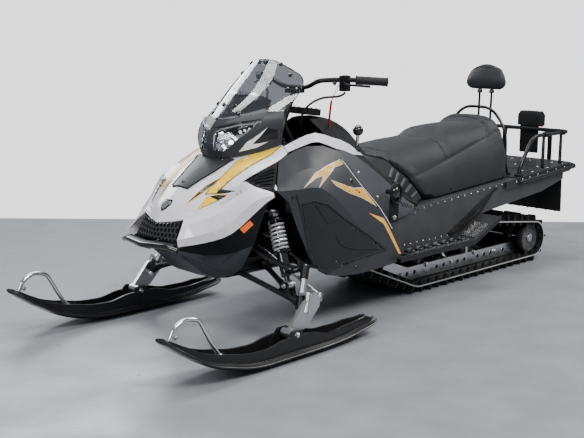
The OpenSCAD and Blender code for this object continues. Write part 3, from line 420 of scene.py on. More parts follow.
class Shape:
    """Mesh under construction, in millimetres; mat is the number of the material in hand."""

    def __init__(self):
        self.bm = bmesh.new()
        self.mat = 0

    def face(self, verts):
        if self.bm.faces.get(verts):
            return None
        face = self.bm.faces.new(verts)
        face.material_index = self.mat
        return face

    def rings(self, rows, cap=True, closed=False):
        """Skin through rings of points, capped or joined end to end."""
        made = [[self.bm.verts.new(p) for p in row] for row in rows]
        pairs = list(zip(made, made[1:])) + ([(made[-1], made[0])] if closed else [])
        for a, b in pairs:
            for j in range(len(a)):
                k = (j + 1) % len(a)
                self.face((a[j], a[k], b[k], b[j]))
        if cap and not closed:
            self.face(list(reversed(made[0])))
            self.face(made[-1])
        return made

    def lathe(self, at, axis, profile, sides=24, closed=False):
        """Turned part: profile is (radius, height) pairs along the axis from the point."""
        d, u, v = axes_of(axis)
        rows = []
        for r, h in profile:
            r = max(r, 0.02)
            rows.append([Vector(at) + d * h + (u * math.cos(a) + v * math.sin(a)) * r
                         for a in (2 * math.pi * k / sides for k in range(sides))])
        self.rings(rows, closed=closed)

    def rod(self, a, b, r, sides=16):
        a, b = Vector(a), Vector(b)
        self.lathe(a, b - a, [(r, 0), (r, (b - a).length)], sides)

    def tube(self, path, r, sides=10, closed=False):
        """Round tube along a path, with frames carried from point to point."""
        pts = [Vector(p) for p in path]
        n = len(pts)
        rows = []
        u = None
        for i, p in enumerate(pts):
            back = pts[i - 1] if (i or closed) else p
            ahead = pts[(i + 1) % n] if (i < n - 1 or closed) else p
            d = (ahead - back).normalized()
            u = axes_of(d)[1] if u is None else (u - d * u.dot(d)).normalized()
            v = d.cross(u)
            rows.append([p + (u * math.cos(a) + v * math.sin(a)) * r
                         for a in (2 * math.pi * k / sides for k in range(sides))])
        self.rings(rows, closed=closed)

    def block(self, low, high, taper=0.0):
        """Box between two corners; taper draws in its top."""
        (x0, y0, z0), (x1, y1, z1) = low, high
        t = taper
        self.rings([[(x0, y0, z0), (x1, y0, z0), (x1, y1, z0), (x0, y1, z0)],
                    [(x0 + t, y0 + t, z1), (x1 - t, y0 + t, z1), (x1 - t, y1 - t, z1),
                     (x0 + t, y1 - t, z1)]])

    def prism(self, outline, step):
        """Outline of points extruded by a vector."""
        step = Vector(step)
        self.rings([[Vector(p) for p in outline], [Vector(p) + step for p in outline]])

    def bolt(self, at, axis, r, hex_head=False):
        """Bolt or screw head standing on a surface."""
        d = Vector(axis).normalized()
        at = Vector(at) - d * 0.8
        if hex_head:
            self.lathe(at, d, [(r * 1.35, 0), (r * 1.35, 1.2), (r * 1.15, 2.0)], 20)
            self.lathe(at + d * 2.0, d, [(r, 0), (r, r * 0.65), (r * 0.8, r * 0.8)], 6)
        else:
            self.lathe(at, d, [(r, 0), (r, 1.2), (r * 0.86, 2.4), (r * 0.55, 3.2), (r * 0.5, 3.2),
                               (r * 0.45, 1.6), (0, 1.6)], 18)

    def to_right(self):
        """Turns what was built for the left side into its mirror image."""
        for vert in self.bm.verts:
            vert.co.y = -vert.co.y

    def piece(self, name, mats, body=BODY, angle=38, bevel=0.0, mirror=False, replaces=()):
        """Finished object in metres, riding on its body."""
        bmesh.ops.recalc_face_normals(self.bm, faces=self.bm.faces)
        if mirror:
            whole = self.bm.verts[:] + self.bm.edges[:] + self.bm.faces[:]
            copied = bmesh.ops.duplicate(self.bm, geom=whole)
            verts = [g for g in copied["geom"] if isinstance(g, bmesh.types.BMVert)]
            faces = [g for g in copied["geom"] if isinstance(g, bmesh.types.BMFace)]
            for v in verts:
                v.co.y = -v.co.y
            bmesh.ops.reverse_faces(self.bm, faces=faces)
        bmesh.ops.scale(self.bm, vec=(MM, MM, MM), verts=self.bm.verts)
        return to_object(name, self.bm, mats, body, angle, bevel, replaces)


def to_object(name, bm, mats, body, angle=38, bevel=0.0, replaces=()):
    """Object from a bmesh, shaded smooth up to an angle, with a fine bevel if asked."""
    limit = math.radians(angle)
    for face in bm.faces:
        face.smooth = True
    for edge in bm.edges:
        if len(edge.link_faces) == 2:
            edge.smooth = edge.calc_face_angle(0.0) < limit
    mesh = bpy.data.meshes.new(name)
    bm.to_mesh(mesh)
    bm.free()
    ob = bpy.data.objects.new(name, mesh)
    bpy.context.scene.collection.objects.link(ob)
    for mat in mats:
        mesh.materials.append(FINISHES[mat])
    if bevel:
        mod = ob.modifiers.new("edge", "BEVEL")
        mod.width = bevel * MM
        mod.segments = 2
        mod.limit_method = "ANGLE"
        mod.angle_limit = math.radians(max(angle, 32))
        mod.use_clamp_overlap = True
        mod.harden_normals = True
    if body:
        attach(ob, body)
    if replaces:
        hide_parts(*replaces)
    return ob


def subdivided(ob):
    """One level of smooth subdivision on an object."""
    mod = ob.modifiers.new("round", "SUBSURF")
    mod.levels = 1
    mod.render_levels = 1


def node_mesh(node):
    """Fresh bmesh of a CAD node, in metres, with its seams joined and flat areas merged."""
    bm = bmesh.new()
    bm.from_mesh(frame["nodes"][node].data)
    for layer in list(bm.loops.layers.float_vector.values()):
        bm.loops.layers.float_vector.remove(layer)
    bmesh.ops.remove_doubles(bm, verts=bm.verts, dist=0.00002)
    bmesh.ops.dissolve_limit(bm, angle_limit=math.radians(0.4), verts=bm.verts, edges=bm.edges)
    return bm


def node_skin(node, bm, mats, angle, bevel):
    """Object that stands for a CAD node, on the node's own body."""
    body = frame["nodes"][node]["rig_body"]
    return to_object(node + "_skin", bm, mats, body, angle, bevel, (node,))


def skin(node, mats, rule=None, bevel=1.0, angle=34):
    """Crisp bevelled copy of a CAD node; rule(centre in mm) gives the material's number."""
    bm = node_mesh(node)
    for face in bm.faces:
        face.material_index = rule(face.calc_center_median() / MM) if rule else 0
    return node_skin(node, bm, mats, angle, bevel)


def round_skin(node, mats):
    """Tube node with its flats rounded off; the sharp end edges keep their crease."""
    bm = node_mesh(node)
    crease = bm.edges.layers.float.get("crease_edge") or bm.edges.layers.float.new("crease_edge")
    for edge in bm.edges:
        if len(edge.link_faces) == 2 and edge.calc_face_angle(0.0) > math.radians(CREASE_FROM):
            edge[crease] = 0.9
    subdivided(node_skin(node, bm, mats, CREASE_FROM, 0.0))


class Surface:
    """Ray target made of CAD nodes or finished pieces, for laying graphics and screws on them."""

    def __init__(self, *nodes):
        verts, faces = [], []
        for node in nodes:
            mesh = frame["nodes"][node].data if isinstance(node, str) else node.data
            base = len(verts)
            verts += [v.co / MM for v in mesh.vertices]
            faces += [[base + i for i in p.vertices] for p in mesh.polygons]
        self.tree = BVHTree.FromPolygons(verts, faces)

    def drop(self, point, toward):
        """First point met along a direction from outside, and the outward normal there."""
        toward = Vector(toward).normalized()
        hit, normal, _, _ = self.tree.ray_cast(Vector(point) - toward * 70, toward, 160)
        if hit is None:
            hit, normal, _, _ = self.tree.find_nearest(Vector(point))
        if normal.dot(toward) > 0:
            normal = -normal
        return hit, normal


def newell(points):
    """Unit normal of a closed outline."""
    n = Vector((0, 0, 0))
    for a, b in zip(points, points[1:] + points[:1]):
        n += Vector(a).cross(Vector(b))
    return n.normalized()


def decal(shape, surface, outline, lift=0.5, thick=0.5, step=16.0, out=(0.3, 0.7, 0.6)):
    """Thin closed graphic laid over a surface, following its facets."""
    pts = [Vector(p) for p in outline]
    n = newell(pts)
    if n.dot(Vector(out)) < 0:
        n = -n
    work = bmesh.new()
    verts = [work.verts.new(p) for p in pts]
    work.faces.new(verts)
    bmesh.ops.triangulate(work, faces=work.faces[:], ngon_method="EAR_CLIP")
    for _ in range(5):
        long_edges = [e for e in work.edges if e.calc_length() > step]
        if not long_edges:
            break
        bmesh.ops.subdivide_edges(work, edges=long_edges, cuts=1)
        bmesh.ops.triangulate(work, faces=work.faces[:])
    work.verts.ensure_lookup_table()
    tops, bases = {}, {}
    for v in work.verts:
        hit, normal = surface.drop(v.co, -n)
        if (hit - v.co).length > 45:
            hit, normal = v.co, n
        tops[v.index] = shape.bm.verts.new(hit + normal * (lift + thick))
        bases[v.index] = shape.bm.verts.new(hit + normal * (lift - thick))
    for f in work.faces:
        order = [v.index for v in f.verts]
        if f.normal.dot(n) < 0:
            order.reverse()
        shape.face([tops[i] for i in order])
        shape.face([bases[i] for i in reversed(order)])
    for e in work.edges:
        if len(e.link_faces) == 1:
            a, b = e.verts[0].index, e.verts[1].index
            shape.face((tops[a], tops[b], bases[b], bases[a]))
    work.free()


def ridge(shape, surface, path, width, height, out=(0, 1, 0.2)):
    """Raised rib or groove line that follows a surface along a path."""
    pts = [Vector(p) for p in path]
    fine = []
    for a, b in zip(pts, pts[1:]):
        count = max(1, round((b - a).length / 14))
        fine += [a.lerp(b, k / count) for k in range(count)]
    fine.append(pts[-1])
    rows = []
    for i, p in enumerate(fine):
        d = (fine[min(i + 1, len(fine) - 1)] - fine[max(i - 1, 0)]).normalized()
        hit, normal = surface.drop(p, -Vector(out))
        side = normal.cross(d).normalized()
        rows.append([hit - side * width / 2 - normal * 0.5,
                     hit - side * width * 0.25 + normal * height,
                     hit + side * width * 0.25 + normal * height,
                     hit + side * width / 2 - normal * 0.5])
    shape.rings(rows)


def screws(shape, surface, places, r, out=(0, 1, 0.1), hex_head=False):
    """Heads of screws or bolts standing on a surface."""
    for p in places:
        hit, normal = surface.drop(p, -Vector(out))
        shape.bolt(hit, normal, r, hex_head)


def sided(points, side):
    """Points of the left side (1), or mirrored to the right (-1)."""
    return [(p[0], p[1] * side, p[2]) for p in points]


def smooth_path(points, count=8):
    """Catmull-Rom curve through points."""
    pts = [Vector(p) for p in points]
    out = []
    for i in range(len(pts) - 1):
        a, b = pts[max(i - 1, 0)], pts[i]
        c, d = pts[i + 1], pts[min(i + 2, len(pts) - 1)]
        for k in range(count):
            t = k / count
            out.append(b + 0.5 * t * (c - a + t * (2 * a - 5 * b + 4 * c - d
                                                   + t * (3 * (b - c) + d - a))))
    out.append(pts[-1])
    return out


# ---- hood and nose ----
HOOD_OUT = (0.35, 0.45, 0.8)

# Main lightning stripe, from the cowl's rear corner down to its zigzag, left side
STRIPE = [(712, 196, 786), (780, 158, 768), (884, 130, 733), (994, 140, 664), (1064, 132, 612),
          (1042, 164, 616), (1022, 164, 634), (962, 170, 678), (872, 190, 722), (780, 212, 756)]
STRIPE_SPIKE = [(1022, 163, 634), (1014, 188, 630), (1000, 236, 627), (1024, 198, 617),
                (1052, 154, 613)]
THIN_SPIKES = [
    [(990, 131, 668), (1044, 104, 638), (1128, 90, 577), (1078, 112, 611), (1024, 132, 644)],
    [(1022, 212, 610), (1044, 172, 611), (1064, 152, 604), (1044, 184, 604), (1054, 194, 592),
     (1136, 136, 548)]]
# Facet of the hood's flank, covered with a darker copy of the hood colour as painted shade
PAINTED_SHADE_FACET = [(1000, 228, 650), (1088, 178, 598), (1060, 214, 575), (968, 254, 652), (930, 272, 642),
         (948, 246, 668)]


def grown(outline, amount):
    """Outline pushed out from its middle line by moving each edge; sharp tips stay pointed."""
    pts = [Vector(p) for p in outline]
    n = newell(pts)
    out = []
    for i, p in enumerate(pts):
        a = (p - pts[i - 1]).normalized().cross(n)
        b = (pts[(i + 1) % len(pts)] - p).normalized().cross(n)
        m = (a + b)
        m = m.normalized() if m.length > 0.01 else a
        out.append(p + m * amount / max(0.35, m.dot(a)))
    return out


def build_hood(sizes):
    skin("hood", ["hood_gloss"], bevel=1.4, angle=11)
    skin("hood_insert", ["panel_charcoal"], bevel=1.4, angle=20)
    hood = Surface("hood")
    paint = Shape()
    for side in (1, -1):
        out = (HOOD_OUT[0], HOOD_OUT[1] * side, HOOD_OUT[2])
        # Painted shade: darker copy of the hood colour laid over the flank facet
        paint.mat = 3
        decal(paint, hood, sided(PAINTED_SHADE_FACET, side), 0.2, 0.25, out=out)
        paint.mat = 1
        decal(paint, hood, sided(grown(STRIPE, 3.6), side), 0.5, 0.3, out=out)
        decal(paint, hood, sided(STRIPE_SPIKE, side), 0.9, 0.3, out=out)
        paint.mat = 0
        decal(paint, hood, sided(STRIPE, side), 1.1, 0.3, out=out)
        for outline in THIN_SPIKES:
            decal(paint, hood, sided(grown(outline, 4.5), side), 0.5, 0.3, out=out)
        paint.mat = 1
        for outline in THIN_SPIKES:
            decal(paint, hood, sided(outline, side), 1.1, 0.3, out=out)
    paint.piece("hood_stripes_and_painted_shade", ["stripe_yellow", "stripe_black", "stripe_white", "hood_painted_shade"],
                angle=20)
    # Blank shield between insert and grille
    badge = Shape()
    shield = [(1144, -23, 583), (1146, 0, 582), (1144, 23, 583), (1158, 27, 567), (1176, 14, 549),
              (1185, 0, 539), (1176, -14, 549), (1158, -27, 567)]
    decal(badge, hood, shield, 1.2, 1.2, out=(0.7, 0, 0.7))
    badge.mat = 1
    inner = [Vector((1162, 0, 563)) + (Vector(p) - Vector((1162, 0, 563))) * 0.72 for p in shield]
    decal(badge, hood, inner, 2.6, 0.5, out=(0.7, 0, 0.7))
    badge.piece("nose_shield", ["gloss_black", "chrome"], angle=30)
    heads = Shape()
    screws(heads, Surface("hood_insert", "hood"), [(916, 58, 733), (916, -58, 733), (1072, 0, 648)],
           sizes.bolt / MM, out=(0.4, 0, 0.9))
    heads.piece("hood_screws", ["gloss_black"])
    # Rolled lip round the insert
    lip = Shape()
    edge = [(1091, 50, 631), (1028, 66, 664), (983, 82, 688), (928, 98, 717), (893, 110, 738)]
    top = Surface("hood_insert", "hood")
    for side in (1, -1):
        ridge(lip, top, sided(edge, side), 5, 2.2, out=(0.4, 0.1 * side, 0.9))
    ridge(lip, top, [(1094, 48, 632), (1097, 0, 636), (1094, -48, 632)], 5, 2.2, out=(0.6, 0, 0.8))
    lip.piece("insert_lip", ["moulded_black"])


def build_nose(sizes):
    skin("grille", ["moulded_black"], bevel=1.0)
    skin("belly_pan", ["belly_grey"], bevel=1.2, angle=16)
    for side in ("left", "right"):
        skin("lower_cheek_" + side, ["moulded_black"], bevel=1.2, angle=16)
    # Honeycomb in front of the grille's back plate
    pitch = sizes.hex_pitch / MM
    low = [Vector(p) for p in ((1208, 126, 431), (1219, 66, 434), (1226, 0, 436), (1219, -66, 434),
                               (1208, -126, 431))]
    high = [Vector(p) for p in ((1169, 112, 511), (1187, 60, 501), (1204, 0, 495), (1187, -60, 501),
                                (1169, -112, 511))]

    def on_nose(y, t):
        """Point of the nose's curved face at a width and a height fraction."""
        def at(row):
            y_row = y * (row[0].y / 126.0)
            for a, b in zip(row, row[1:]):
                if b.y <= y_row <= a.y:
                    return a.lerp(b, (a.y - y_row) / (a.y - b.y))
            return row[0] if y > 0 else row[-1]
        return at(low).lerp(at(high), t)

    cells = Shape()
    plate = Surface("grille")
    tall = (high[2] - low[2]).length
    radius = pitch / math.sqrt(3)
    rows = int(tall / (radius * 1.5)) + 2
    columns = int(252 / pitch) + 2
    for row in range(rows):
        for col in range(-columns // 2, columns // 2 + 1):
            cy = col * pitch + (row % 2) * pitch / 2
            cz = row * radius * 1.5
            ring_out, ring_in = [], []
            for k in range(6):
                a = math.radians(60 * k + 30)
                for ring, r in ((ring_out, radius * 0.985), (ring_in, radius * 0.74)):
                    y = max(-122, min(122, cy + r * math.cos(a)))
                    t = max(0.0, min(1.0, (cz + r * math.sin(a)) / tall))
                    ring.append(on_nose(y, t))
            if (ring_out[0] - ring_out[3]).length < 6 or (ring_out[1] - ring_out[4]).length < 6:
                continue
            rings = [[plate.drop(p, (-1, 0, -0.35)) for p in ring] for ring in (ring_out, ring_in)]
            back = [[cells.bm.verts.new(hit - normal * 0.5) for hit, normal in ring]
                    for ring in rings]
            front = [[cells.bm.verts.new(hit + normal * 6.0) for hit, normal in ring]
                     for ring in rings]
            for j in range(6):
                k = (j + 1) % 6
                cells.face((front[0][j], front[0][k], front[1][k], front[1][j]))
                cells.face((back[0][j], back[1][j], back[1][k], back[0][k]))
                cells.face((front[0][j], back[0][j], back[0][k], front[0][k]))
                cells.face((front[1][j], front[1][k], back[1][k], back[1][j]))
    cells.piece("grille_honeycomb", ["honeycomb"], angle=20)
    # Flat bumper bar with end caps, a slot in the chin, ribs and reflectors
    skin("front_bumper", ["gloss_black"], bevel=0.0)
    bar = Shape()
    line = smooth_path([(1242, 150, 424), (1256, 110, 428), (1272, 0, 424), (1256, -110, 428),
                        (1242, -150, 424)], 6)
    rows = []
    for p in line:
        rows.append([p + Vector(q) for q in ((2, 0, -6), (11, 0, -2), (11, 0, 4), (2, 0, 9),
                                             (-14, 0, 9), (-14, 0, -3))])
    bar.rings(rows)
    bar.piece("bumper_face", ["moulded_black"], bevel=1.2, angle=25)
    extra = Shape()
    chin = Surface("belly_pan")
    decal(extra, chin, [(1186, 22, 382), (1186, 44, 382), (1180, 46, 378), (1180, 20, 378)], 0.4,
          0.4, out=(0.6, 0, -0.8))
    extra.mat = 1
    for side in (1, -1):
        ridge(extra, chin, [(1150, 78 * side, 364), (1058, 102 * side, 284),
                            (1000, 122 * side, 256)], 6, 2.0, out=(0.6, 0.5 * side, -0.6))
    extra.piece("belly_details", ["stripe_black", "belly_grey"])
    # Side reflectors; their amber finish glows as painted light
    glow = Shape()
    for side in (1, -1):
        plate = [(1006, 262 * side, 482), (972, 284 * side, 514), (952, 284 * side, 496),
                 (985, 262 * side, 462)]
        cheek = Surface("lower_cheek_left" if side > 0 else "lower_cheek_right")
        glow.mat = 1
        decal(glow, cheek, grown(plate, 2.5), 1.2, 1.2, step=60, out=(0.3, side, 0))
        glow.mat = 0
        decal(glow, cheek, plate, 3.4, 1.6, step=60, out=(0.3, side, 0))
    glow.piece("side_reflectors", ["reflector_amber_painted_glow", "moulded_black"], angle=20, bevel=0.5)
    # Vent slats between hood and side panel
    slats = Shape()
    for side, node in ((1, "air_vent_left"), (-1, "air_vent_right")):
        skin(node, ["moulded_black"], bevel=0.6)
        vent = Surface(node)
        front, top, low_rear = (Vector(p) for p in ((954, 241, 658), (804, 262, 718),
                                                    (880, 322, 626)))
        for k in range(6):
            t = 0.12 + k * 0.15
            rear = top.lerp(low_rear, t)
            if t < 0.5:
                tip = top.lerp(front, 1 - abs(t - 0.5) * 0.9)
            else:
                tip = low_rear.lerp(front, 1 - (t - 0.5) * 1.4)
            a = rear.lerp(tip, 0.04)
            b = rear.lerp(tip, 0.9)
            ridge(slats, vent, sided((a, b), side), 13, 6.0, out=(0.3, 0.8 * side, 0.5))
    slats.piece("vent_slats", ["gloss_black"], angle=25)


# ---- lamps and windshield ----
LAMP = [(930, 26, 768), (908, 66, 764), (884, 96, 790), (776, 150, 876), (868, 96, 868),
        (918, 24, 842)]
LAMP_OUT = Vector((0.80, 0.52, 0.30)).normalized()


def build_lamps():
    skin("headlamp_cowl", ["panel_charcoal"], bevel=1.2, angle=16)
    skin("headlamps", ["lamp_lens"], bevel=0.5, angle=30)
    bowls = Shape()
    middle = sum((Vector(p) for p in LAMP), Vector((0, 0, 0))) / len(LAMP)

    def ring(grow, depth):
        return [middle + (Vector(p) - middle) * grow - LAMP_OUT * depth for p in LAMP]

    # Bright bowl, its dark rim and a round projector with a fluted ring
    bowls.rings([ring(0.98, 16), ring(0.98, 20), ring(0.80, 40), ring(0.5, 62), ring(0.46, 62),
                 ring(0.76, 39), ring(0.93, 19), ring(0.93, 16)], cap=False, closed=True)
    bowls.rings([ring(0.5, 60), ring(0.5, 64)])
    eye = Vector((904, 84, 806)) - LAMP_OUT * 16
    for r, depth in ((37, 0), (33, 4)):
        bowls.lathe(eye - LAMP_OUT * (18 + depth), LAMP_OUT,
                    [(r - 6, 0), (r, 8), (r, 12), (r - 3, 13), (r - 7, 4)], 40)
    for k in range(12):
        a = 2 * math.pi * k / 12
        _, u, v = axes_of(LAMP_OUT)
        p = eye + (u * math.cos(a) + v * math.sin(a)) * 31 - LAMP_OUT * 6
        bowls.rod(p, p + LAMP_OUT * 4, 2.2, 8)
    bowls.mat = 1
    bowls.lathe(eye - LAMP_OUT * 10, LAMP_OUT, [(25, 0), (25, 3), (22, 8), (15, 12), (7, 14),
                                                (0, 14.6)], 32)
    bowls.mat = 2
    for k in range(5):
        p = Vector((862 - k * 17, 108 + k * 8.4, 846 + k * 5.4)) - LAMP_OUT * 20
        bowls.rod(p, p + LAMP_OUT * 5, 6.5 - k * 0.7, 14)
    bowls.mat = 3
    bowls.rings([ring(0.99, 13.5), ring(0.99, 17), ring(0.93, 17), ring(0.93, 13.5)],
                cap=False, closed=True)
    bowls.piece("lamp_internals", ["chrome", "lamp_lens", "lamp_strip", "gloss_black"], angle=24,
                mirror=True)
    paint = Shape()
    cowl = Surface("headlamp_cowl")
    ticks = [[(878, 122, 764), (853, 142, 803), (817, 168, 829), (774, 183, 862), (834, 154, 794)],
             [(878, 122, 764), (834, 154, 794), (772, 184, 803), (818, 161, 780)]]
    brow = [(934, 20, 856), (908, 56, 866), (862, 110, 884), (782, 160, 896), (860, 112, 876),
            (906, 56, 858)]
    panel = [(836, 150, 800), (776, 182, 860), (730, 194, 850), (728, 195, 815), (770, 184, 806)]
    for side in (1, -1):
        paint.mat = 0
        for tick in ticks:
            decal(paint, cowl, sided(tick, side), 0.9, 0.3, out=(0.6, 0.8 * side, 0.2))
        paint.mat = 1
        decal(paint, cowl, sided(panel, side), 0.3, 0.25, out=(0.6, 0.8 * side, 0.2))
        decal(paint, cowl, sided(brow, side), 0.3, 0.3, out=(0.7, 0.5 * side, 0.5))
    paint.piece("cowl_graphics", ["stripe_white", "gloss_black"], angle=25)


def build_windshield():
    skin("windshield", ["clear_screen"], bevel=0.6, angle=40)
    screen = Surface("windshield")
    band = Shape()
    half = [(876, 20, 896), (852, 62, 905), (800, 112, 922), (740, 152, 938), (716, 150, 966),
            (752, 84, 990), (768, 0, 986)]
    whole = half + sided(half[-2::-1], -1) + [(878, 0, 895)]
    decal(band, screen, whole, -4.6, 0.35, step=22, out=(0.8, 0, 0.5))
    band.piece("screen_band", ["smoked_screen"], angle=40)
    heads = Shape()
    places = [(818, 36, 946), (837, 78, 911), (745, 152, 938), (606, 146, 1067), (600, 90, 1108)]
    for p in places:
        for side in (1, -1):
            hit, normal = screen.drop((p[0], p[1] * side, p[2]), (-0.8, 0, -0.5))
            heads.lathe(hit - normal * 4.5, normal, [(4, 0), (8, 1.0), (8, 1.4), (3, 1.5), (3, 4.4),
                                                     (9, 4.5), (9.5, 8), (7.5, 10.5), (3, 11.2),
                                                     (0, 11.2)], 20)
    # Edge moulding round the screen's rim and a bracket at its top
    mesh_rim = [(683, 190, 927), (648, 198, 958), (608, 202, 998), (574, 192, 1036),
                (562, 166, 1066), (580, 132, 1090), (598, 92, 1112), (612, 50, 1128),
                (617, 0, 1129)]
    rim = smooth_path(mesh_rim, 4)
    rim += [Vector((p.x, -p.y, p.z)) for p in reversed(rim[:-1])]
    for q in rim:
        q.x += 1.2
        q.z -= 1.6
    heads.tube(rim, 2.6, 8)
    heads.block((596, -34, 1108), (622, 34, 1122), 2)
    heads.mat = 1
    heads.lathe((614, -9, 1117), (0, 1, 0), [(5, 0), (13, 1), (14, 9), (13, 17), (5, 18)], 24)
    heads.piece("screen_fittings", ["gloss_black", "chrome"], bevel=0.4)


# ---- cockpit ----
def build_cockpit():
    skin("console", ["moulded_black"], bevel=1.2, angle=16)
    skin("gauge_pod", ["moulded_black"], bevel=3.0)
    skin("shift_lever", ["gloss_black"], bevel=0.6)
    skin("engine", ["frame_paint"], bevel=4.0)
    low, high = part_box("gauge_pod")
    middle = (low.x + high.x) / 2 / MM
    gauge = Shape()
    tilt = math.tan(math.radians(8))

    def plate(x0, x1, y0, y1, z, t):
        """Flat plate tilted with the instrument box."""
        gauge.rings([[(x, y, z + dz + (x - middle) * tilt)
                      for x, y in ((x0, y0), (x1, y0), (x1, y1), (x0, y1))] for dz in (0, t)])

    plate(middle - 32, middle + 32, -48, 48, 904.5, 2)
    gauge.mat = 1
    for y in (-53, 53):
        for x in (-16, 16):
            gauge.lathe((middle + x, y, 911 + x * tilt), (0, 0, 1), [(4.5, 0), (4.5, 2), (3.5, 3)],
                        16)
    gauge.mat = 2
    for k in range(7):
        a = math.radians(30 + 20 * k)
        p = Vector((middle + 18 * math.sin(a) - 8, 30 * math.cos(a), 908.1))
        p.z += (p.x - middle) * tilt
        gauge.rod(p, p + Vector((2.5 * math.sin(a), 2.5 * math.cos(a), 0)), 0.6, 6)
    gauge.piece("gauge_face", ["gauge_glass", "grip_rubber", "stripe_white"], bevel=0.4)
    # Collar and boot of the shift lever, key switch, and moulded ribs on the console
    extra = Shape()
    extra.lathe((236, 201, 729), (-0.34, -0.22, 0.92), [(19, -3), (19, 1), (14, 6), (15, 8),
                                                        (10, 12), (11, 14), (7.5, 19)], 24)
    extra.lathe((345, -96, 842), (-0.1, -0.35, 0.9), [(14, -4), (14, 3), (11, 6), (11, 9), (9, 9.5),
                                                      (9, 8)], 24)
    pad = Surface("console")
    for y in (-88, -76, 76, 88):
        ridge(extra, pad, [(270, y, 830), (170, y, 790), (110, y, 745)], 5, 1.6, out=(-0.4, 0, 0.9))
    extra.piece("console_details", ["grip_rubber"])
    ball = Shape()
    ball.mat = 1
    ball.lathe((208, 183, 833.5), (0.05, 0.1, 1), [(8, -1), (8, 2.2), (7, 2.8)], 24)
    ball.piece("knob_inlay", ["stripe_white", "chrome"])
    round_skin("tether_cap", ["tether_red"])
    strand = Shape()
    strand.tube(smooth_path([(394, 188, 948), (392, 200, 976), (384, 214, 1010), (374, 226, 1034)],
                            5), 1.6, 8)
    link = strand.piece("tether_strand", ["tether_red"], body=None)
    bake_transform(link)


# ---- side bodywork ----
BOLT_GRAPHIC = [(724, 346, 626), (636, 324, 672), (552, 304, 691), (431, 274, 707), (420, 281, 691),
                (490, 297, 684), (568, 326, 651), (636, 349, 620), (585, 322, 660), (640, 330, 656)]
GOLD_BLOCK = [(542, 329, 635), (465, 327, 609), (390, 320, 584), (323, 313, 579), (250, 332, 494),
              (339, 329, 540), (433, 333, 572), (520, 334, 613)]
GOLD_LOW = [(312, 343, 470), (209, 343, 434), (183, 348, 398), (108, 364, 262), (126, 366, 262),
            (216, 348, 410)]
EDGE_LINE = [(414, 272, 706), (329, 308, 593), (223, 332, 482), (152, 347, 380)]
POCKET = [(738, 348, 560), (672, 352, 566), (592, 356, 540), (492, 362, 470), (330, 366, 372),
          (222, 369, 296),
          (514, 370, 282), (575, 370, 262), (640, 366, 262), (700, 358, 352)]


def build_side_panels():
    for side, word in ((1, "left"), (-1, "right")):
        skin("side_panel_" + word, ["panel_charcoal"], bevel=1.2, angle=13)
        skin("side_trim_" + word, ["hood_gloss", "moulded_black"], bevel=1.2, angle=16,
             rule=lambda c: 0 if c.x > 262 else 1)
        skin("tank_cover_" + word, ["belly_grey"], bevel=1.2, angle=16)
        out = (0, side, 0.15)
        face = Surface("side_panel_" + word)
        paint = Shape()
        paint.mat = 1
        decal(paint, face, sided(POCKET, side), 0.3, 0.25, step=26, out=out)
        paint.mat = 0
        decal(paint, face, sided(GOLD_BLOCK, side), 0.9, 0.3, out=out)
        decal(paint, face, sided(GOLD_LOW, side), 0.9, 0.3, out=out)
        decal(paint, face, sided(BOLT_GRAPHIC, side), 1.1, 0.3, out=out)
        paint.mat = 2
        decal(paint, face, sided(grown(BOLT_GRAPHIC, 2.4), side), 0.5, 0.3, out=out)
        decal(paint, face, sided(grown(GOLD_BLOCK, 2.0), side), 0.4, 0.3, out=out)
        ridge(paint, face, sided(EDGE_LINE, side), 4.5, 1.0, out=out)
        paint.mat = 3
        second = [(p[0] - 9, p[1], p[2] - 4) for p in EDGE_LINE]
        ridge(paint, face, sided(second, side), 7, 0.8, out=out)
        paint.piece("panel_graphics_" + word, ["stripe_gold", "pocket_charcoal", "stripe_white",
                                               "stripe_black"],
                    angle=25)
        relief = Shape()
        for path, width, height in (
                (POCKET[:6], 9, 4.0), (POCKET[5:] + POCKET[:1], 9, 3.0),
                ([(664, 356, 548), (598, 361, 466), (500, 364, 476)], 6, 3.0),
                ([(640, 361, 440), (480, 366, 470)], 6, 2.4),
                ([(550, 366, 410), (530, 368, 374), (500, 369, 352), (440, 369, 334),
                  (260, 370, 308)], 7, 3.0),
                ([(770, 340, 600), (742, 350, 520), (702, 357, 350), (668, 364, 284),
                  (604, 369, 250)], 12, 3.0)):
            ridge(relief, face, sided(path, side), width, height, out=out)
        relief.mat = 1
        screws(relief, face, sided([(790, 342, 590), (545, 369, 290), (420, 372, 250)], side), 8,
               out)
        screws(relief, face, sided([(388, 309, 615)], side), 14, out)
        relief.piece("panel_relief_" + word, ["pocket_charcoal", "gloss_black"], angle=28)
        # Trim seams, louvred strip and corner plate under the seat's nose
        trim = Shape()
        band = Surface("side_trim_" + word, "hood")
        for path in ([(715, 221, 782), (706, 236, 768), (704, 246, 760)],
                     [(666, 216, 793), (656, 232, 777), (650, 240, 768)]):
            ridge(trim, band, sided(path, side), 3.4, 0.5, out=(0.1, 0.6 * side, 0.9))
        trim.piece("trim_seams_" + word, ["stripe_black"])
        low = Shape()
        cover = Surface("tank_cover_" + word, "tunnel")
        plate = [(66, 286, 436), (-60, 272, 424), (-128, 270, 420), (-112, 270, 404),
                 (44, 287, 396)]
        low.mat = 1
        decal(low, cover, sided(plate, side), 1.0, 0.8, out=out)
        low.mat = 0
        for k in range(6):
            x = -4 - k * 24
            ridge(low, cover, sided([(x, 268, 476 - k * 8), (x - 12, 272, 448 - k * 5)], side), 9,
                  2.0, out=(0, side, 0.4))
        low.mat = 2
        screws(low, cover, sided([(-112, 270, 413), (52, 288, 410), (300, 270, 640),
                                  (180, 284, 520)], side), 7, out)
        low.piece("cover_details_" + word, ["moulded_black", "belly_grey", "bolt_steel"], angle=25)
    build_recoil()
    build_seat_strips()


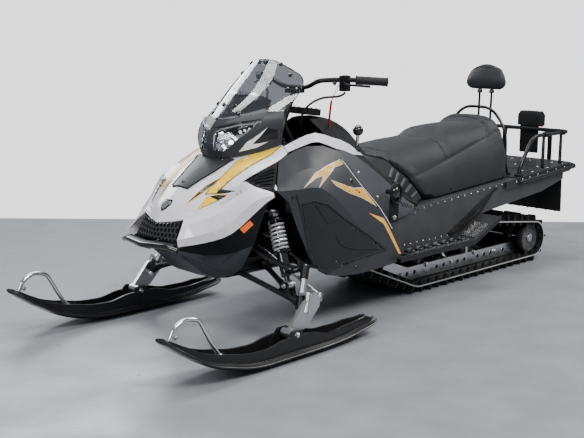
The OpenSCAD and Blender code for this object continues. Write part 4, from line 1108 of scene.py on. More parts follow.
def build_seat_strips():
    """Slotted strip that closes the gap between trim and seat on each side."""
    edge = [(296, 205, 752), (200, 212, 694), (107, 220, 632), (20, 229, 567), (-60, 238, 504),
            (-140, 248, 452)]
    seat = [(150, 160, 694), (90, 166, 682), (8, 174, 662), (-54, 190, 618), (-150, 210, 546),
            (-236, 213, 462)]
    strip = Shape()
    rows = []
    for a, b in zip(smooth_path(edge, 4), smooth_path(seat, 4)):
        rows.append([a, a - Vector((0, 0, 4)), b - Vector((0, 0, 4)), b])
    strip.rings(rows)
    strip.mat = 1
    outer, inner = smooth_path(edge, 12), smooth_path(seat, 12)
    for k in range(5):
        i = 34 + k * 5
        a, b = outer[i].lerp(inner[i], 0.14), outer[i].lerp(inner[i], 0.86)
        ahead = (outer[i + 1] - outer[i]).normalized()
        n = (b - a).cross(ahead).normalized()
        n = n if n.z > 0 else -n
        strip.rings([[p + ahead * w + n * h for p, w in ((a, -wide), (b, -wide), (b, wide),
                                                         (a, wide))]
                     for wide, h in ((9, 0.2), (6, 4.5))])
    strip.piece("seat_strips", ["stripe_black", "belly_grey"], mirror=True, bevel=0.4, angle=30)


def build_recoil():
    """Starter knob in its oval bracket."""
    knob = Shape()
    at = Vector((118, 348, 538))
    knob.lathe(at - Vector((0, 32, 0)), (0, 1, 0), [(12, -32), (12, 2), (24, 4), (29, 10), (28, 19),
                                                    (22, 26), (11, 31), (0, 32)], 36)
    knob.mat = 1
    oval = []
    for k in range(40):
        a = 2 * math.pi * k / 40
        oval.append(at + Vector((36 * math.cos(a), -10, 44 * math.sin(a) - 4)))
    knob.tube(oval, 6, 10, closed=True)
    strap = [(90, 330, 400), (146, 330, 400), (150, 330, 500), (140, 330, 548), (118, 330, 562),
             (96, 330, 548), (86, 330, 500)]
    knob.prism(strap, (0, -6, 0))
    knob.mat = 2
    knob.bolt((118, 330.5, 424), (0, 1, 0), 8, True)
    knob.piece("recoil_knob", ["gloss_black", "moulded_black", "bolt_steel"], bevel=0.8,
               replaces=("recoil_handle",))


# ---- chassis ----
def tunnel_top(x):
    """Height of the tunnel's top skin behind the sprockets."""
    return 426 - min(x, 0) * 0.0655


def build_chassis():
    skin("tunnel", ["tunnel_grey"], bevel=0.8)
    skin("front_frame", ["frame_paint"], bevel=0.8)
    skin("cargo_deck", ["deck_paint"], bevel=1.0)
    head = Shape()
    for side, word in ((1, "left"), (-1, "right")):
        skin("running_board_" + word, ["board_paint", "frame_paint"], bevel=1.0,
             rule=lambda c: 1 if abs(c.y) < 281 and c.z > 268 and c.x < -440 else 0)
        wall = Surface("tunnel")
        places = [(x, 268 * side, tunnel_top(x) - 12) for x in range(-180, -850, -55)]
        places += [(x, 268 * side, 266) for x in range(60, -420, -48)]
        screws(head, wall, places, 4.5, (0, side, 0))
        deck = Surface("cargo_deck")
        screws(head, deck, [(x, 290 * side, tunnel_top(x) - 14)
                            for x in (-953, -1013, -1084, -1163, -1260, -1350, -1440)],
               6.5, (0, side, 0))
        screws(head, deck, [(x, y * side, tunnel_top(x) + 8) for x in (-1140, -1290, -1440)
                            for y in (60, 200, 262)],
               6.5, (0, 0, 1))
    head.piece("rivets", ["bolt_steel"])
    # Serrated lips round the board's slots, and grip studs
    teeth = Shape()
    for k in range(7):
        x0 = -k * 66
        for y0 in (300.3, 372.3):
            for j in range(4):
                x = x0 + 4 + j * 11
                z = 251.5 + max(0.0, (-430 - x) * 0.42)
                tip = -1 if y0 > 340 else 1
                teeth.prism([(x, y0, z), (x + 7, y0, z), (x + 3.5, y0 + tip * 2, z + 7)],
                            (0, tip * -3, 0))
    for k in range(8):
        x = -22 - k * 66
        for y in (310, 336, 362):
            teeth.lathe((x, y, 251.5), (0, 0, 1), [(6, 0), (5, 4), (4, 4), (4, 1)], 10)
    # Grip plate with raised studs on the rising part of the board
    teeth.mat = 1
    low, high = Vector((-448, 0, 260.5)), Vector((-566, 0, 312.5))
    for y0, y1 in ((296, 334), (344, 382)):
        teeth.rings([[p + Vector((0, y, h)) for y, h in ((y0, -1), (y1, -1), (y1, 2), (y0, 2))]
                     for p in (low, high)])
    teeth.mat = 0
    for k in range(9):
        p = low.lerp(high, (k + 0.5) / 9)
        for y in (303, 315, 327, 351, 363, 375):
            teeth.lathe(p + Vector((0, y + (3 if k % 2 else 0), 1.5)), (0.4, 0, 0.92),
                        [(4.6, 0), (3.8, 4), (3, 4), (3, 1)], 8)
    teeth.piece("board_teeth", ["bolt_steel", "stripe_black"], mirror=True, angle=30)
    wear = Shape()
    for x in (-1190, -1345):
        wear.rings([[(a, b, tunnel_top(a) + h) for a, b in ((x - w, y), (x + w, y), (x + w, -y),
                                                            (x - w, -y))]
                    for w, y, h in ((24, 226, 6.4), (20, 222, 9.4))])
    wear.piece("deck_ribs", ["deck_paint"], bevel=0.8)


# ---- seat and backrest ----
CLOTH_FRAMES = 20  # frames until the swelling has settled


def side_pair(path):
    """A seam and its mirror image."""
    return [path, sided(path, -1)]


SEAT_SEAMS = (
    side_pair([(0, 178, 640), (-60, 196, 606), (-150, 214, 565), (-300, 208, 597), (-453, 196, 627),
               (-640, 190, 672),
               (-827, 180, 718), (-876, 184, 737), (-950, 186, 742)])
    + side_pair([(-453, 196, 627), (-443, 147, 711), (-415, 90, 728), (-400, 40, 735),
                 (-396, 0, 736)])
    + side_pair([(-827, 180, 718), (-850, 150, 765), (-858, 60, 802), (-860, 0, 806)])
    + side_pair([(-60, 150, 676), (-60, 80, 700), (-60, 0, 706)]))


def evaluated(ob):
    """Mesh of an object with its modifiers applied."""
    graph = bpy.context.evaluated_depsgraph_get()
    return bpy.data.meshes.new_from_object(ob.evaluated_get(graph))


def padded(node, name, voxel, seams, groove, shrink, cap, rest_z, rounds):
    """Inflated fabric cover grown from a CAD cushion, with its seams held down."""
    bm = node_mesh(node)
    mesh = bpy.data.meshes.new(name)
    bm.to_mesh(mesh)
    bm.free()
    ob = bpy.data.objects.new(name, mesh)
    bpy.context.scene.collection.objects.link(ob)
    even = ob.modifiers.new("even", "REMESH")
    even.mode = "VOXEL"
    even.voxel_size = voxel
    ob.data = evaluated(ob)
    ob.modifiers.clear()
    points = [p * MM for path in seams for p in sampled(path, 3.0)]
    tree = KDTree(max(1, len(points)))
    for i, p in enumerate(points):
        tree.insert(p, i)
    tree.balance()
    bm = bmesh.new()
    bm.from_mesh(ob.data)
    bm.normal_update()
    free = [v for v in bm.verts if v.co.z > rest_z(v.co.x)]
    for v in free:
        v.co -= v.normal * shrink
    for _ in range(rounds):
        bmesh.ops.smooth_vert(bm, verts=free, factor=0.5, use_axis_x=True, use_axis_y=True,
                              use_axis_z=True)
    bm.normal_update()
    held = []
    for v in bm.verts:
        near = tree.find(v.co)[2] if points else 1.0
        if near < groove * 3.2:
            v.co -= v.normal * groove * math.exp(-(near / groove) ** 2 * 0.5)
        if near < voxel * 1.1 or v.co.z <= rest_z(v.co.x):
            held.append(v.index)
    bm.to_mesh(ob.data)
    bm.free()
    start = [v.co.copy() for v in ob.data.vertices]
    group = ob.vertex_groups.new(name="held")
    group.add(held, 1.0, "REPLACE")
    cloth = ob.modifiers.new("cloth", "CLOTH")
    cloth.settings.use_pressure = True
    cloth.settings.uniform_pressure_force = 4.0
    cloth.settings.effector_weights.gravity = 0.0
    cloth.settings.quality = 5
    cloth.settings.vertex_group_mass = "held"
    cloth.point_cache.frame_start = 1
    cloth.point_cache.frame_end = CLOTH_FRAMES
    for number in range(1, CLOTH_FRAMES + 1):
        bpy.context.scene.frame_set(number)
    ob.data = evaluated(ob)
    ob.modifiers.clear()
    bpy.context.scene.frame_set(1)
    for v, was in zip(ob.data.vertices, start):
        step = v.co - was
        if step.length > cap:
            v.co = was + step.normalized() * cap
    for face in ob.data.polygons:
        face.use_smooth = True
    ob.data.materials.clear()
    ob.data.materials.append(FINISHES["seat_vinyl"])
    subdivided(ob)
    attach(ob, BODY)
    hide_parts(node)
    return ob


def sampled(path, step):
    """Points along a path at about a step, in millimetres."""
    pts = [Vector(p) for p in path]
    out = []
    for a, b in zip(pts, pts[1:]):
        count = max(1, round((b - a).length / step))
        out += [a.lerp(b, k / count) for k in range(count)]
    return out + [pts[-1]]


def piping(name, cover, seams, r, lift=0.2):
    """Round piping and stitches sewn along seams of a cover."""
    face = Surface(cover)
    shape = Shape()
    for path in seams:
        line = []
        for p in sampled(path, 9):
            hit, normal, _, _ = face.tree.find_nearest(p)
            line.append(hit + normal * lift)
        smooth = [line[0]] + [(a + b * 2 + c) / 4 for a, b,
                              c in zip(line, line[1:], line[2:])] + [line[-1]]
        shape.tube(smooth, r / MM, 8)
        shape.mat = 1
        for a, b in zip(smooth, smooth[1:]):
            normal = face.tree.find_nearest((a + b) / 2)[1]
            d = (b - a).normalized()
            side = normal.cross(d).normalized() * 5.5
            for sign in (1, -1):
                hit, up, _, _ = face.tree.find_nearest((a + b) / 2 + side * sign)
                p = hit + up * 0.3
                shape.rod(p - d * 2.4, p + d * 2.4, 0.55, 5)
        shape.mat = 0
    return shape.piece(name, ["piping", "seat_vinyl"])


def build_seat(sizes):
    cover = padded("seat", "seat_cover", 0.009, SEAT_SEAMS, 0.005, 0.003, sizes.pad_cap,
                   lambda x: tunnel_top(min(x / MM, 0)) * MM + 0.012 if x < 0.0 else 0.60, 7)
    piping("seat_piping", cover, SEAT_SEAMS, sizes.seam)
    trim = Shape()
    base = Surface("seat")
    for side in (1, -1):
        line = [(x, 214 * side, tunnel_top(x) + 10) for x in range(-40, -940, -40)]
        ridge(trim, base, line, 10, 4.0, out=(0, side, 0))
        screws(trim, base, [(x, 214 * side, tunnel_top(x) + 26) for x in (-200, -460, -720)], 6,
               (0, side, 0))
    trim.piece("seat_base_edge", ["moulded_black"])


def build_backrest(sizes):
    low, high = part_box("backrest_pad")
    low, high = low / MM, high / MM
    mid = (low + high) / 2
    w, h = (high.y - low.y) / 2, (high.z - low.z) / 2
    oval = [(mid.x + 20, mid.y + (w - 14) * math.copysign(abs(math.cos(a)) ** 0.6, math.cos(a)),
             mid.z + (h - 12) * math.copysign(abs(math.sin(a)) ** 0.6, math.sin(a)))
            for a in (2 * math.pi * k / 32 for k in range(33))]
    back = [(2 * mid.x - p[0], p[1], p[2]) for p in oval]
    cover = padded("backrest_pad", "backrest_cover", 0.005, [oval, back], 0.0035, 0.002, 0.005,
                   lambda x: -1.0, 8)
    piping("backrest_piping", cover, [oval, back], sizes.seam)
    skin("backrest_frame", ["frame_paint"], bevel=1.0)
    extra = Shape()
    for y in (-38, 38):
        top = Vector((-1057, y, mid.z - h + 4))
        extra.lathe(top - Vector((0, 0, 22)), (0, 0, 1), [(11, 0), (14, 3), (14, 14), (10, 20)], 20)
        extra.lathe((-1046, y, tunnel_top(-1046) + 46), (0, 0, 1), [(17, 0), (17, 10), (12, 18)],
                    20)
    extra.piece("backrest_collars", ["gloss_black"])


# ---- rack and tail ----
def build_tail():
    for node in ("cargo_rack", "grab_hoop", "rear_bumper"):
        round_skin(node, ["frame_paint"])
    skin("tail_light", ["moulded_black"], bevel=1.2)
    skin("snow_flap", ["rubber"], bevel=1.0)
    lens = Shape()

    def glass(*faces):
        """Lens between two upright rectangles, each (x, half width, lowest z, highest z)."""
        lens.rings([[(x, y, z) for y, z in ((-w, z0), (w, z0), (w, z1), (-w, z1))]
                    for x, w, z0, z1 in faces])

    glass((-1561, 62, 724, 768), (-1567, 58, 728, 764))
    lens.mat = 1
    for y in (-58, -29, 0, 29, 58):
        lens.rod((-1566.5, y, 730), (-1566.5, y, 762), 1.6, 8)
    # Amber reflector strip, whose finish glows as painted light
    lens.mat = 2
    glass((-1552, 66, 708, 722), (-1562, 64, 710, 720))
    lens.mat = 3
    for y in (-50, 50):
        lens.bolt((-1530, y, 798), (0, 0, 1), 6)
    lens.piece("tail_lens", ["tail_red", "tail_red", "reflector_amber_painted_glow", "bolt_steel"], bevel=1.0,
               angle=30)
    ribs = Shape()
    flap = Surface("snow_flap")
    out = (-1, 0, 0.2)
    for y in range(-180, 181, 60):
        ridge(ribs, flap, [(-1515, y, 310), (-1575, y, 80)], 14, 2.4, out=out)
    ridge(ribs, flap, [(-1530, -200, 296), (-1530, 200, 296)], 16, 2.6, out=out)
    ribs.mat = 1
    screws(ribs, flap, [(-1500, y, 330) for y in (-220, -110, 0, 110, 220)], 7, out)
    ribs.piece("flap_ribs", ["rubber", "bolt_steel"])
    # Clamps, end caps and bolts on rack and bumper
    bits = Shape()
    for x in (-1250, -1430):
        bits.lathe((x - 16, 264, 700), (1, 0, 0), [(15, 0), (15, 32)], 20)
        bits.bolt((x, 276, 700), (0, 1, 0), 6, True)
        bits.bolt((x, 262, tunnel_top(x) + 14), (0, 1, 0), 5, True)
    bits.lathe((-1000, 264, tunnel_top(-1000) + 10), (0, 0, 1), [(24, -1), (24, 4), (15, 9)], 24)
    bits.lathe((-1010, 188, tunnel_top(-1010) + 8), (0, 0, 1), [(20, -1), (20, 4), (11, 8)], 24)
    bits.piece("rack_fittings", ["moulded_black"], mirror=True, bevel=0.4)


# ---- track ----
# Circles that the belt's inner face runs round, as (x, z, radius): idler, rail nose, sprocket
LOOP = ((-1217, 129, 89), (-202, 189, 149), (280, 315, 88))


def loop_points(count):
    """Points of the belt's inner face at equal steps, each with its outward normal, as (x, z)."""
    cloud = sorted({(round(x + r * math.cos(a), 4), round(z + r * math.sin(a), 4))
                    for x, z, r in LOOP for a in (2 * math.pi * k / 360 for k in range(360))})

    def half(points):
        hull = []
        for p in points:
            while len(hull) > 1 and ((hull[-1][0] - hull[-2][0]) * (p[1] - hull[-2][1])
                                     - (hull[-1][1] - hull[-2][1]) * (p[0] - hull[-2][0])) <= 0:
                hull.pop()
            hull.append(p)
        return hull[:-1]

    hull = half(cloud) + half(cloud[::-1])
    spans = [math.dist(a, b) for a, b in zip(hull, hull[1:] + hull[:1])]
    total = sum(spans)
    out = []
    i, done = 0, 0.0
    for k in range(count):
        want = total * k / count
        while done + spans[i] < want:
            done += spans[i]
            i += 1
        a, b = hull[i], hull[(i + 1) % len(hull)]
        t = (want - done) / spans[i]
        d = ((b[0] - a[0]) / spans[i], (b[1] - a[1]) / spans[i])
        out.append((a[0] + (b[0] - a[0]) * t, a[1] + (b[1] - a[1]) * t, d[1], -d[0]))
    return out


def build_track(sizes):
    rows = sizes.lug_rows
    path = loop_points(rows * 4)

    def at(i, y, off, along=0.0):
        x, z, nx, nz = path[i % len(path)]
        return Vector((x + nx * off - nz * along, y, z + nz * off + nx * along))

    belt = Shape()
    loops = []
    for i in range(len(path)):
        section = [(-250, 0.5), (-250, 7), (-246, 8), (246, 8), (250, 7), (250, 0.5), (246, 0.1),
                   (-246, 0.1)]
        loops.append([belt.bm.verts.new(at(i, y, off)) for y, off in section])
    for a, b in zip(loops, loops[1:] + loops[:1]):
        for j in range(8):
            k = (j + 1) % 8
            belt.mat = 1 if j in (0, 4) else 0
            belt.face((a[j], a[k], b[k], b[j]))
    belt.mat = 0
    tall = sizes.lug_height / MM
    for r in range(rows):
        i = r * 4
        wide = ((-78, 78), (134, 240), (-240, -134)) if r % 2 else ((38, 150), (-150, -38),
                                                                    (192, 244), (-244, -192))
        for y0, y1 in wide:
            # Cupped lug: (y at its foot, cup, y at its tip)
            base = [(y0, 0, y0 + 4), ((y0 + y1) / 2, 7, (y0 + y1) / 2), (y1, 0, y1 - 4)]
            foot = [at(i, y, 7, cup - 9) for y, cup, _ in base]
            foot += [at(i, y, 7, cup + 9) for y, cup, _ in reversed(base)]
            high = [at(i, y, 8 + tall, cup - 4) for _, cup, y in base]
            high += [at(i, y, 8 + tall, cup + 4) for _, cup, y in reversed(base)]
            belt.rings([foot, high])
        # Stiffening bar across the belt, and drive lugs inside
        bar = [(-246, -8), (246, -8), (246, 8), (-246, 8)]
        belt.rings([[at(i, y, 7, s) for y, s in bar], [at(i, y, 12, s * 0.7) for y, s in bar]])
        for y, deep in ((-232, 20), (-137, 11), (137, 11), (232, 20)):
            foot = [(y - 7, -15), (y + 7, -15), (y + 7, 15), (y - 7, 15)]
            belt.rings([[at(i, p, 1, s) for p, s in foot],
                        [at(i, y + (p - y) * 0.7, -deep, s * 0.4) for p, s in foot]])
    belt.mat = 2
    for r in range(rows):
        i = r * 4 + 2
        for y in (-178, 178):
            plate = [(y - 12, -13), (y + 12, -13), (y + 12, 13), (y - 12, 13)]
            belt.rings([[at(i, p, 7.5, s) for p, s in plate], [at(i, p, 10, s) for p, s in plate]])
    belt.piece("track_belt", ["track_rubber", "belt_edge", "forged_alloy"], replaces=("track",),
               angle=30)


# ---- slide frame and wheels ----
BOGIES = (-350, -760)


def road_wheel(shape, x, y, z, r, w, hub):
    """Rubber-tyred wheel about Y: tyre, ribbed web, hub and bearing."""
    face_side = 1 if y > 0 else -1
    low = Vector((x, y - w / 2, z))
    shape.mat = 0
    shape.lathe(low, (0, 1, 0), [(r * 0.82, 2), (r - 4, 0), (r - 0.6, 3), (r, 6), (r, w - 6),
                                 (r - 0.6, w - 3),
                                 (r - 4, w), (r * 0.82, w - 2)], 48, closed=True)
    shape.mat = 1
    shape.lathe(low, (0, 1, 0), [(hub, w * 0.30), (r * 0.76, w * 0.34), (r * 0.78, w * 0.12),
                                 (r * 0.83, w * 0.12),
                                 (r * 0.83, w * 0.88), (r * 0.78, w * 0.88), (r * 0.76, w * 0.66),
                                 (hub, w * 0.70)], 48, closed=True)
    for k in range(8):
        a = 2 * math.pi * k / 8 + 0.2
        d = Vector((math.cos(a), 0, math.sin(a)))
        t = Vector((-math.sin(a), 0, math.cos(a))) * 2.6
        y0, y1 = w * 0.16, w * 0.84
        start, end = low + d * (hub + 2), low + d * r * 0.79
        shape.rings([[p + t * s + Vector((0, y, 0)) for s, y in ((-1, a), (1, a), (1, b), (-1, b))]
                     for p, a, b in ((start, y0 + 2, y1 - 2), (end, y0, y1))])
    shape.mat = 2
    shape.lathe(low, (0, 1, 0), [(0, 1), (hub - 6, 1), (hub - 4, -0.2), (hub + 1, 0.4),
                                 (hub + 2, 3), (hub + 2, w - 3),
                                 (hub + 1, w - 0.4), (hub - 4, w + 0.2), (hub - 6, w - 1),
                                 (0, w - 1)], 32)
    shape.mat = 3
    outer = Vector((x, y + face_side * w / 2, z))
    shape.lathe(outer - Vector((0, face_side * 2, 0)), (0, face_side, 0),
                [(hub * 0.62, 0), (hub * 0.62, 4), (hub * 0.5, 5.5), (0, 5.5)], 6)


def build_wheels():
    wheels = Shape()
    idler_x, idler_z = LOOP[0][:2]
    for y in (205, -205, 110, -110):
        road_wheel(wheels, idler_x, y, idler_z, 88.2, 28, 22)
    for x in BOGIES:
        for y in (110, -110):
            road_wheel(wheels, x, y, 106.3, 65.6, 24, 16)
    for y in (110, -110):
        road_wheel(wheels, -700, y, 228, 49.6, 24, 14)
    wheels.mat = 4
    wheels.rod((idler_x, -222, idler_z), (idler_x, 222, idler_z), 14, 24)
    wheels.piece("wheels", ["rubber", "wheel_grey", "alloy", "bolt_steel", "plated_tube"],
                 replaces=("idler_wheels",))
    skin("slide_frame", ["alloy"], bevel=0.8)
    extra = Shape()
    cross_bolts = (-150, -560, -960)
    for x in range(-80, -1100, -60):
        if min(abs(x - taken) for taken in BOGIES + cross_bolts) < 34:
            continue
        extra.mat = 0
        extra.lathe((x, 161.4, 80), (0, 1, 0), [(13.5, 0), (13.5, 1.4), (12, 1.8), (10.5, 1.4),
                                                (10.5, 0)], 24)
        extra.mat = 1
        extra.lathe((x, 161.2, 80), (0, 1, 0), [(10.4, 0), (10.4, 1.0)], 24)
    extra.mat = 1
    extra.rings([[(-1150, 149, 40.6), (-1150, 163, 40.6), (-1150, 163, 48), (-1150, 149, 48)],
                 [(-250, 149, 40.6), (-250, 163, 40.6), (-250, 163, 48), (-250, 149, 48)]])
    extra.mat = 2
    for x in cross_bolts:
        extra.bolt((x, 162, 86), (0, 1, 0), 9, True)
    for x in BOGIES:
        extra.bolt((x, 162, 106), (0, 1, 0), 10, True)
    extra.piece("rail_details", ["alloy", "rubber", "bolt_steel"], mirror=True, angle=30)
    bars = Shape()
    for x in BOGIES:
        bars.rod((x, -151, 106.3), (x, 151, 106.3), 8, 20)
    # Coils round the two dampers
    bars.mat = 1
    for a, b, r, turns in (((-545, 0, 104), (-402, 0, 268), 34, 8),
                           ((-133, 60, 106), (22, 60, 272), 32, 9)):
        a, b = Vector(a), Vector(b)
        _, u, v = axes_of(b - a)
        count = turns * 20
        bars.tube([a + (b - a) * (k / count) + (u * math.cos(k * math.pi / 10)
                                                + v * math.sin(k * math.pi / 10)) * r
                   for k in range(count + 1)], 4.5, 8)
    bars.piece("slide_springs", ["bolt_steel", "frame_paint"])
    axle_x, axle_z = LOOP[2][:2]
    skin("drive_axle", ["alloy", "wheel_grey"], bevel=0.8,
         rule=lambda c: 1 if math.hypot(c.x - axle_x, c.z - axle_z) > 22 else 0)
    drive = Shape()
    for y in (70, 170):
        for k in range(9):
            a = 2 * math.pi * k / 9
            p = Vector((axle_x + 74 * math.cos(a), y, axle_z + 74 * math.sin(a)))
            drive.rod(p - Vector((0, 17, 0)), p + Vector((0, 17, 0)), 7, 12)
    drive.mat = 1
    drive.lathe((axle_x, 270, axle_z), (0, 1, 0), [(46, 0), (46, 4), (40, 8), (24, 9), (24, 12),
                                                   (20, 12)], 32)
    for k in range(4):
        a = math.pi / 4 + math.pi / 2 * k
        drive.bolt((axle_x + 36 * math.cos(a), 277, axle_z + 36 * math.sin(a)), (0, 1, 0), 5, True)
    drive.piece("drive_details", ["wheel_grey", "forged_alloy"], mirror=True)


# ---- front suspension ----
def build_suspension():
    top, foot = Vector((806, 255, 512)), Vector((846, 378, 246))
    d = (top - foot).normalized()
    length = (top - foot).length
    _, u, v = axes_of(d)
    for word in ("left", "right"):
        round_skin("a_arms_" + word, ["frame_paint"])
        skin("spindle_" + word, ["forged_alloy"], bevel=1.6)
        skin("tie_rod_" + word, ["alloy"], bevel=0.8)
    for side, word in ((1, "left"), (-1, "right")):
        shock = Shape()
        shock.lathe(foot, d, [(11, 12), (11, 34), (20, 36), (22, 40), (22, 52), (20.5, 54),
                              (20.5, 58), (22, 60), (22, 128),
                              (24, 130), (24, 136), (22, 138), (22, 150), (16, 150)], 32)
        shock.lathe(foot, d, [(38, 134), (39, 135), (39, 139), (30, 142), (23, 142), (23, 134)], 36,
                    closed=True)
        shock.lathe(foot, d, [(30, length - 30), (39, length - 29), (39, length - 24),
                              (36, length - 22), (14, length - 20), (14, length - 30)], 36,
                    closed=True)
        shock.mat = 1
        shock.lathe(foot, d, [(8, 140), (8, length - 22)], 24)
        shock.mat = 2
        count = 7 * 24
        h = length - 134 - 38
        shock.tube([foot + d * (146 + (h - 8) * k / count)
                    + (u * math.cos(k * math.pi / 12) + v * math.sin(k * math.pi / 12)) * 30
                    for k in range(count + 1)], 4.5, 10)
        shock.mat = 3
        shock.lathe(foot - Vector((15, 0, 0)), (1, 0, 0), [(8.1, 0), (18, 0), (18, 30), (8.1, 30)],
                    28, closed=True)
        shock.lathe(top - Vector((0, 12, 0)), (0, 1, 0), [(12.1, 0), (20, 0), (20, 24), (12.1, 24)],
                    28, closed=True)
        if side < 0:
            shock.to_right()
        shock.piece("shock_body_" + word, ["gloss_black", "chrome", "spring_white", "forged_alloy"],
                    angle=30,
                    replaces=("shock_" + word,))
    nuts = Shape()
    nuts.bolt((806, 268, 512), (0, 1, 0), 10, True)
    for s in (-1, 1):
        nuts.bolt((846 + s * 27, 378, 246), (s, 0, 0), 8, True)
    nuts.piece("suspension_nuts", ["bolt_steel"], mirror=True)


# ---- skis ----
SKI_X, SKI_Y, SKI_BOLT_Z = 955, 490, 92
SKI_WIDTH = 170  # the width that the half widths below are drawn for
# (distance from the bolt, height, half width, rib height)
SKI = ((-478, 52, 52, 4), (-440, 36, 62, 14), (-330, 12, 70, 26), (-200, 2, 76, 34),
       (-60, 0, 80, 62),
       (60, 0, 82, 62), (180, 0, 84, 44), (300, 14, 85, 40), (420, 52, 84, 34), (520, 106, 76, 26),
       (590, 152, 58, 16), (632, 182, 34, 4))


def ski_ring(s, width):
    """Cross-section of the ski: keel, tray and two upright ribs."""
    x, z, w, h = SKI_X + s[0], s[1], s[2] * width / SKI_WIDTH, s[3]
    k = 14 * max(0, min(1, (480 - abs(s[0])) / 120)) + 1
    f = z + k + 12
    y, r = SKI_Y, w * 0.62
    half = [(y + 16, z), (y + 22, z + k), (y + w - 3, z + k + 3.4), (y + w, z + k + 6),
            (y + w, z + k + 10),
            (y + w - 2, z + k + 12), (y + r + 6, f + 2), (y + r, f + 5), (y + r - 2.4, f + 1 + h),
            (y + r - 4, f + 2 + h),
            (y + r - 10, f + 2 + h), (y + r - 11.6, f + 1 + h), (y + r - 13, f + 3),
            (y + r - 18, f)]
    other = [(2 * y - a, b) for a, b in reversed(half)]
    return [(x, a, b) for a, b in half + other]


def build_skis():
    low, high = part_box("ski_left")
    width = 2 * max(high.y / MM - SKI_Y, SKI_Y - low.y / MM)
    stations = []
    values = [Vector(s[:3]) for s in SKI]
    ribs = [s[3] for s in SKI]
    smooth = smooth_path(values, 5)
    for i, p in enumerate(smooth):
        a = min(i // 5, len(ribs) - 1)
        b = min(a + 1, len(ribs) - 1)
        t = (i % 5) / 5
        stations.append((p.x, max(0.0, p.y), p.z, ribs[a]
                         + (ribs[b] - ribs[a]) * (3 * t * t - 2 * t ** 3)))
    for side, word, body in ((1, "left", "ski_l"), (-1, "right", "ski_r")):
        ski = Shape()
        ski.rings([ski_ring(s, width) for s in stations])
        for s in (-1, 1):
            y = SKI_Y + s * 39
            ski.rings([[(SKI_X + a, y + b, z) for a, b in ((-l, -t), (l, -t), (l, t), (-l, t))]
                       for l, t, z in ((80, 5, 34), (66, 4.6, 66), (24, 4.4, 110))])
        ski.mat = 1
        ski.rod((SKI_X, 446, SKI_BOLT_Z), (SKI_X, 534, SKI_BOLT_Z), 8, 20)
        for s in (-1, 1):
            ski.bolt((SKI_X, SKI_Y + s * 43.5, SKI_BOLT_Z), (0, s, 0), 10, True)
        ski.mat = 2
        keel = ((-330, 19.2), (-200, 7.2), (-60, 5.2), (180, 5.2), (300, 19.2))
        ski.tube([(SKI_X + x, SKI_Y, z) for x, z in keel], 5, 8)
        if side < 0:
            ski.to_right()
        ski.piece("ski_body_" + word, ["ski_plastic", "bolt_steel", "bolt_steel"], body=body,
                  angle=30,
                  replaces=("ski_" + word,))
        round_skin("ski_loop_" + word, ["plated_tube"])
        clips = Shape()
        for x, z in ((1322, 84), (1530, 196)):
            for s in (-1, 1):
                clips.bolt((x, SKI_Y + s * 9, z), (0, s, 0), 7, True)
        if side < 0:
            clips.to_right()
        clips.piece("loop_bolts_" + word, ["bolt_steel"], body=body)


# ---- steering ----
def build_steering():
    round_skin("handlebar", ["frame_paint"])
    round_skin("control_cables", ["rubber"])
    skin("hand_controls", ["moulded_black"], bevel=1.0)
    grips = Shape()
    bend, end = Vector((368, 240, 1046)), Vector((272, 392, 1038))
    d = (end - bend).normalized()
    start = bend + d * 50
    reach = (end - start).length + 6
    profile = [(17.2, -1), (21, -1), (21.5, 3), (17.6, 5)]
    count = 17
    step = (reach - 14) / count
    for k in range(count):
        s = 7 + (reach - 14) * k / count
        profile += [(17.5, s), (18.4, s + step * 0.3), (18.4, s + step * 0.7), (17.5, s + step)]
    profile += [(20.5, reach - 5), (20.5, reach - 1), (16, reach + 1.5), (0, reach + 1.5)]
    grips.lathe(start, d, profile, 28)
    grips.piece("grip_sleeves", ["grip_rubber"], body="steering", mirror=True, angle=50)
    bits = Shape()
    for y in (243, -244):
        bits.mat = 0
        bits.lathe((370, y, 1061), (0, 0, 1), [(14, 0), (14, 2), (12, 3.6), (0, 3.6)], 24)
        bits.mat = 1
        for dx in (-11, 11):
            bits.bolt((370 + dx, y, 1061), (0, 0, 1), 3.4)
        bits.mat = 2
        bits.lathe((351, y, 1030), (-1, 0, 0), [(7, -1), (7, 3), (5.6, 4.6), (0, 4.6)], 16)
    bits.mat = 0
    bits.block((408, -34, 996), (450, 34, 1001), 2)
    bits.mat = 1
    for x in (414, 444):
        for y in (-26, 26):
            bits.bolt((x, y, 1000.6), (0, 0, 1), 5, True)
    bits.mat = 0
    bits.lathe((392, 206, 1034), (-0.3, 0.35, 0.85), [(9, -12), (9, 10), (7, 12), (0, 12)], 18)
    bits.piece("switch_details", ["gloss_black", "bolt_steel", "tether_red"], body="steering",
               bevel=0.3)


# ---- stage ----
EYE = Vector((3.790, 3.269, 1.273))  # camera, in metres
FLOOR_ENDS = 6.9  # metres in front of the camera
YAW, PITCH, ROLL = math.radians(224.3), math.radians(-10.4), math.radians(0.38)


def add_lamp(name, place, aim, size, power, colour=(1, 1, 1)):
    lamp = bpy.data.lights.new(name, "AREA")
    lamp.shape = "RECTANGLE"
    lamp.size, lamp.size_y = size
    lamp.energy = power
    lamp.color = colour
    ob = bpy.data.objects.new(name, lamp)
    bpy.context.scene.collection.objects.link(ob)
    ob.location = place
    ob.rotation_euler = (Vector(aim) - Vector(place)).to_track_quat("-Z", "Y").to_euler()
    return ob


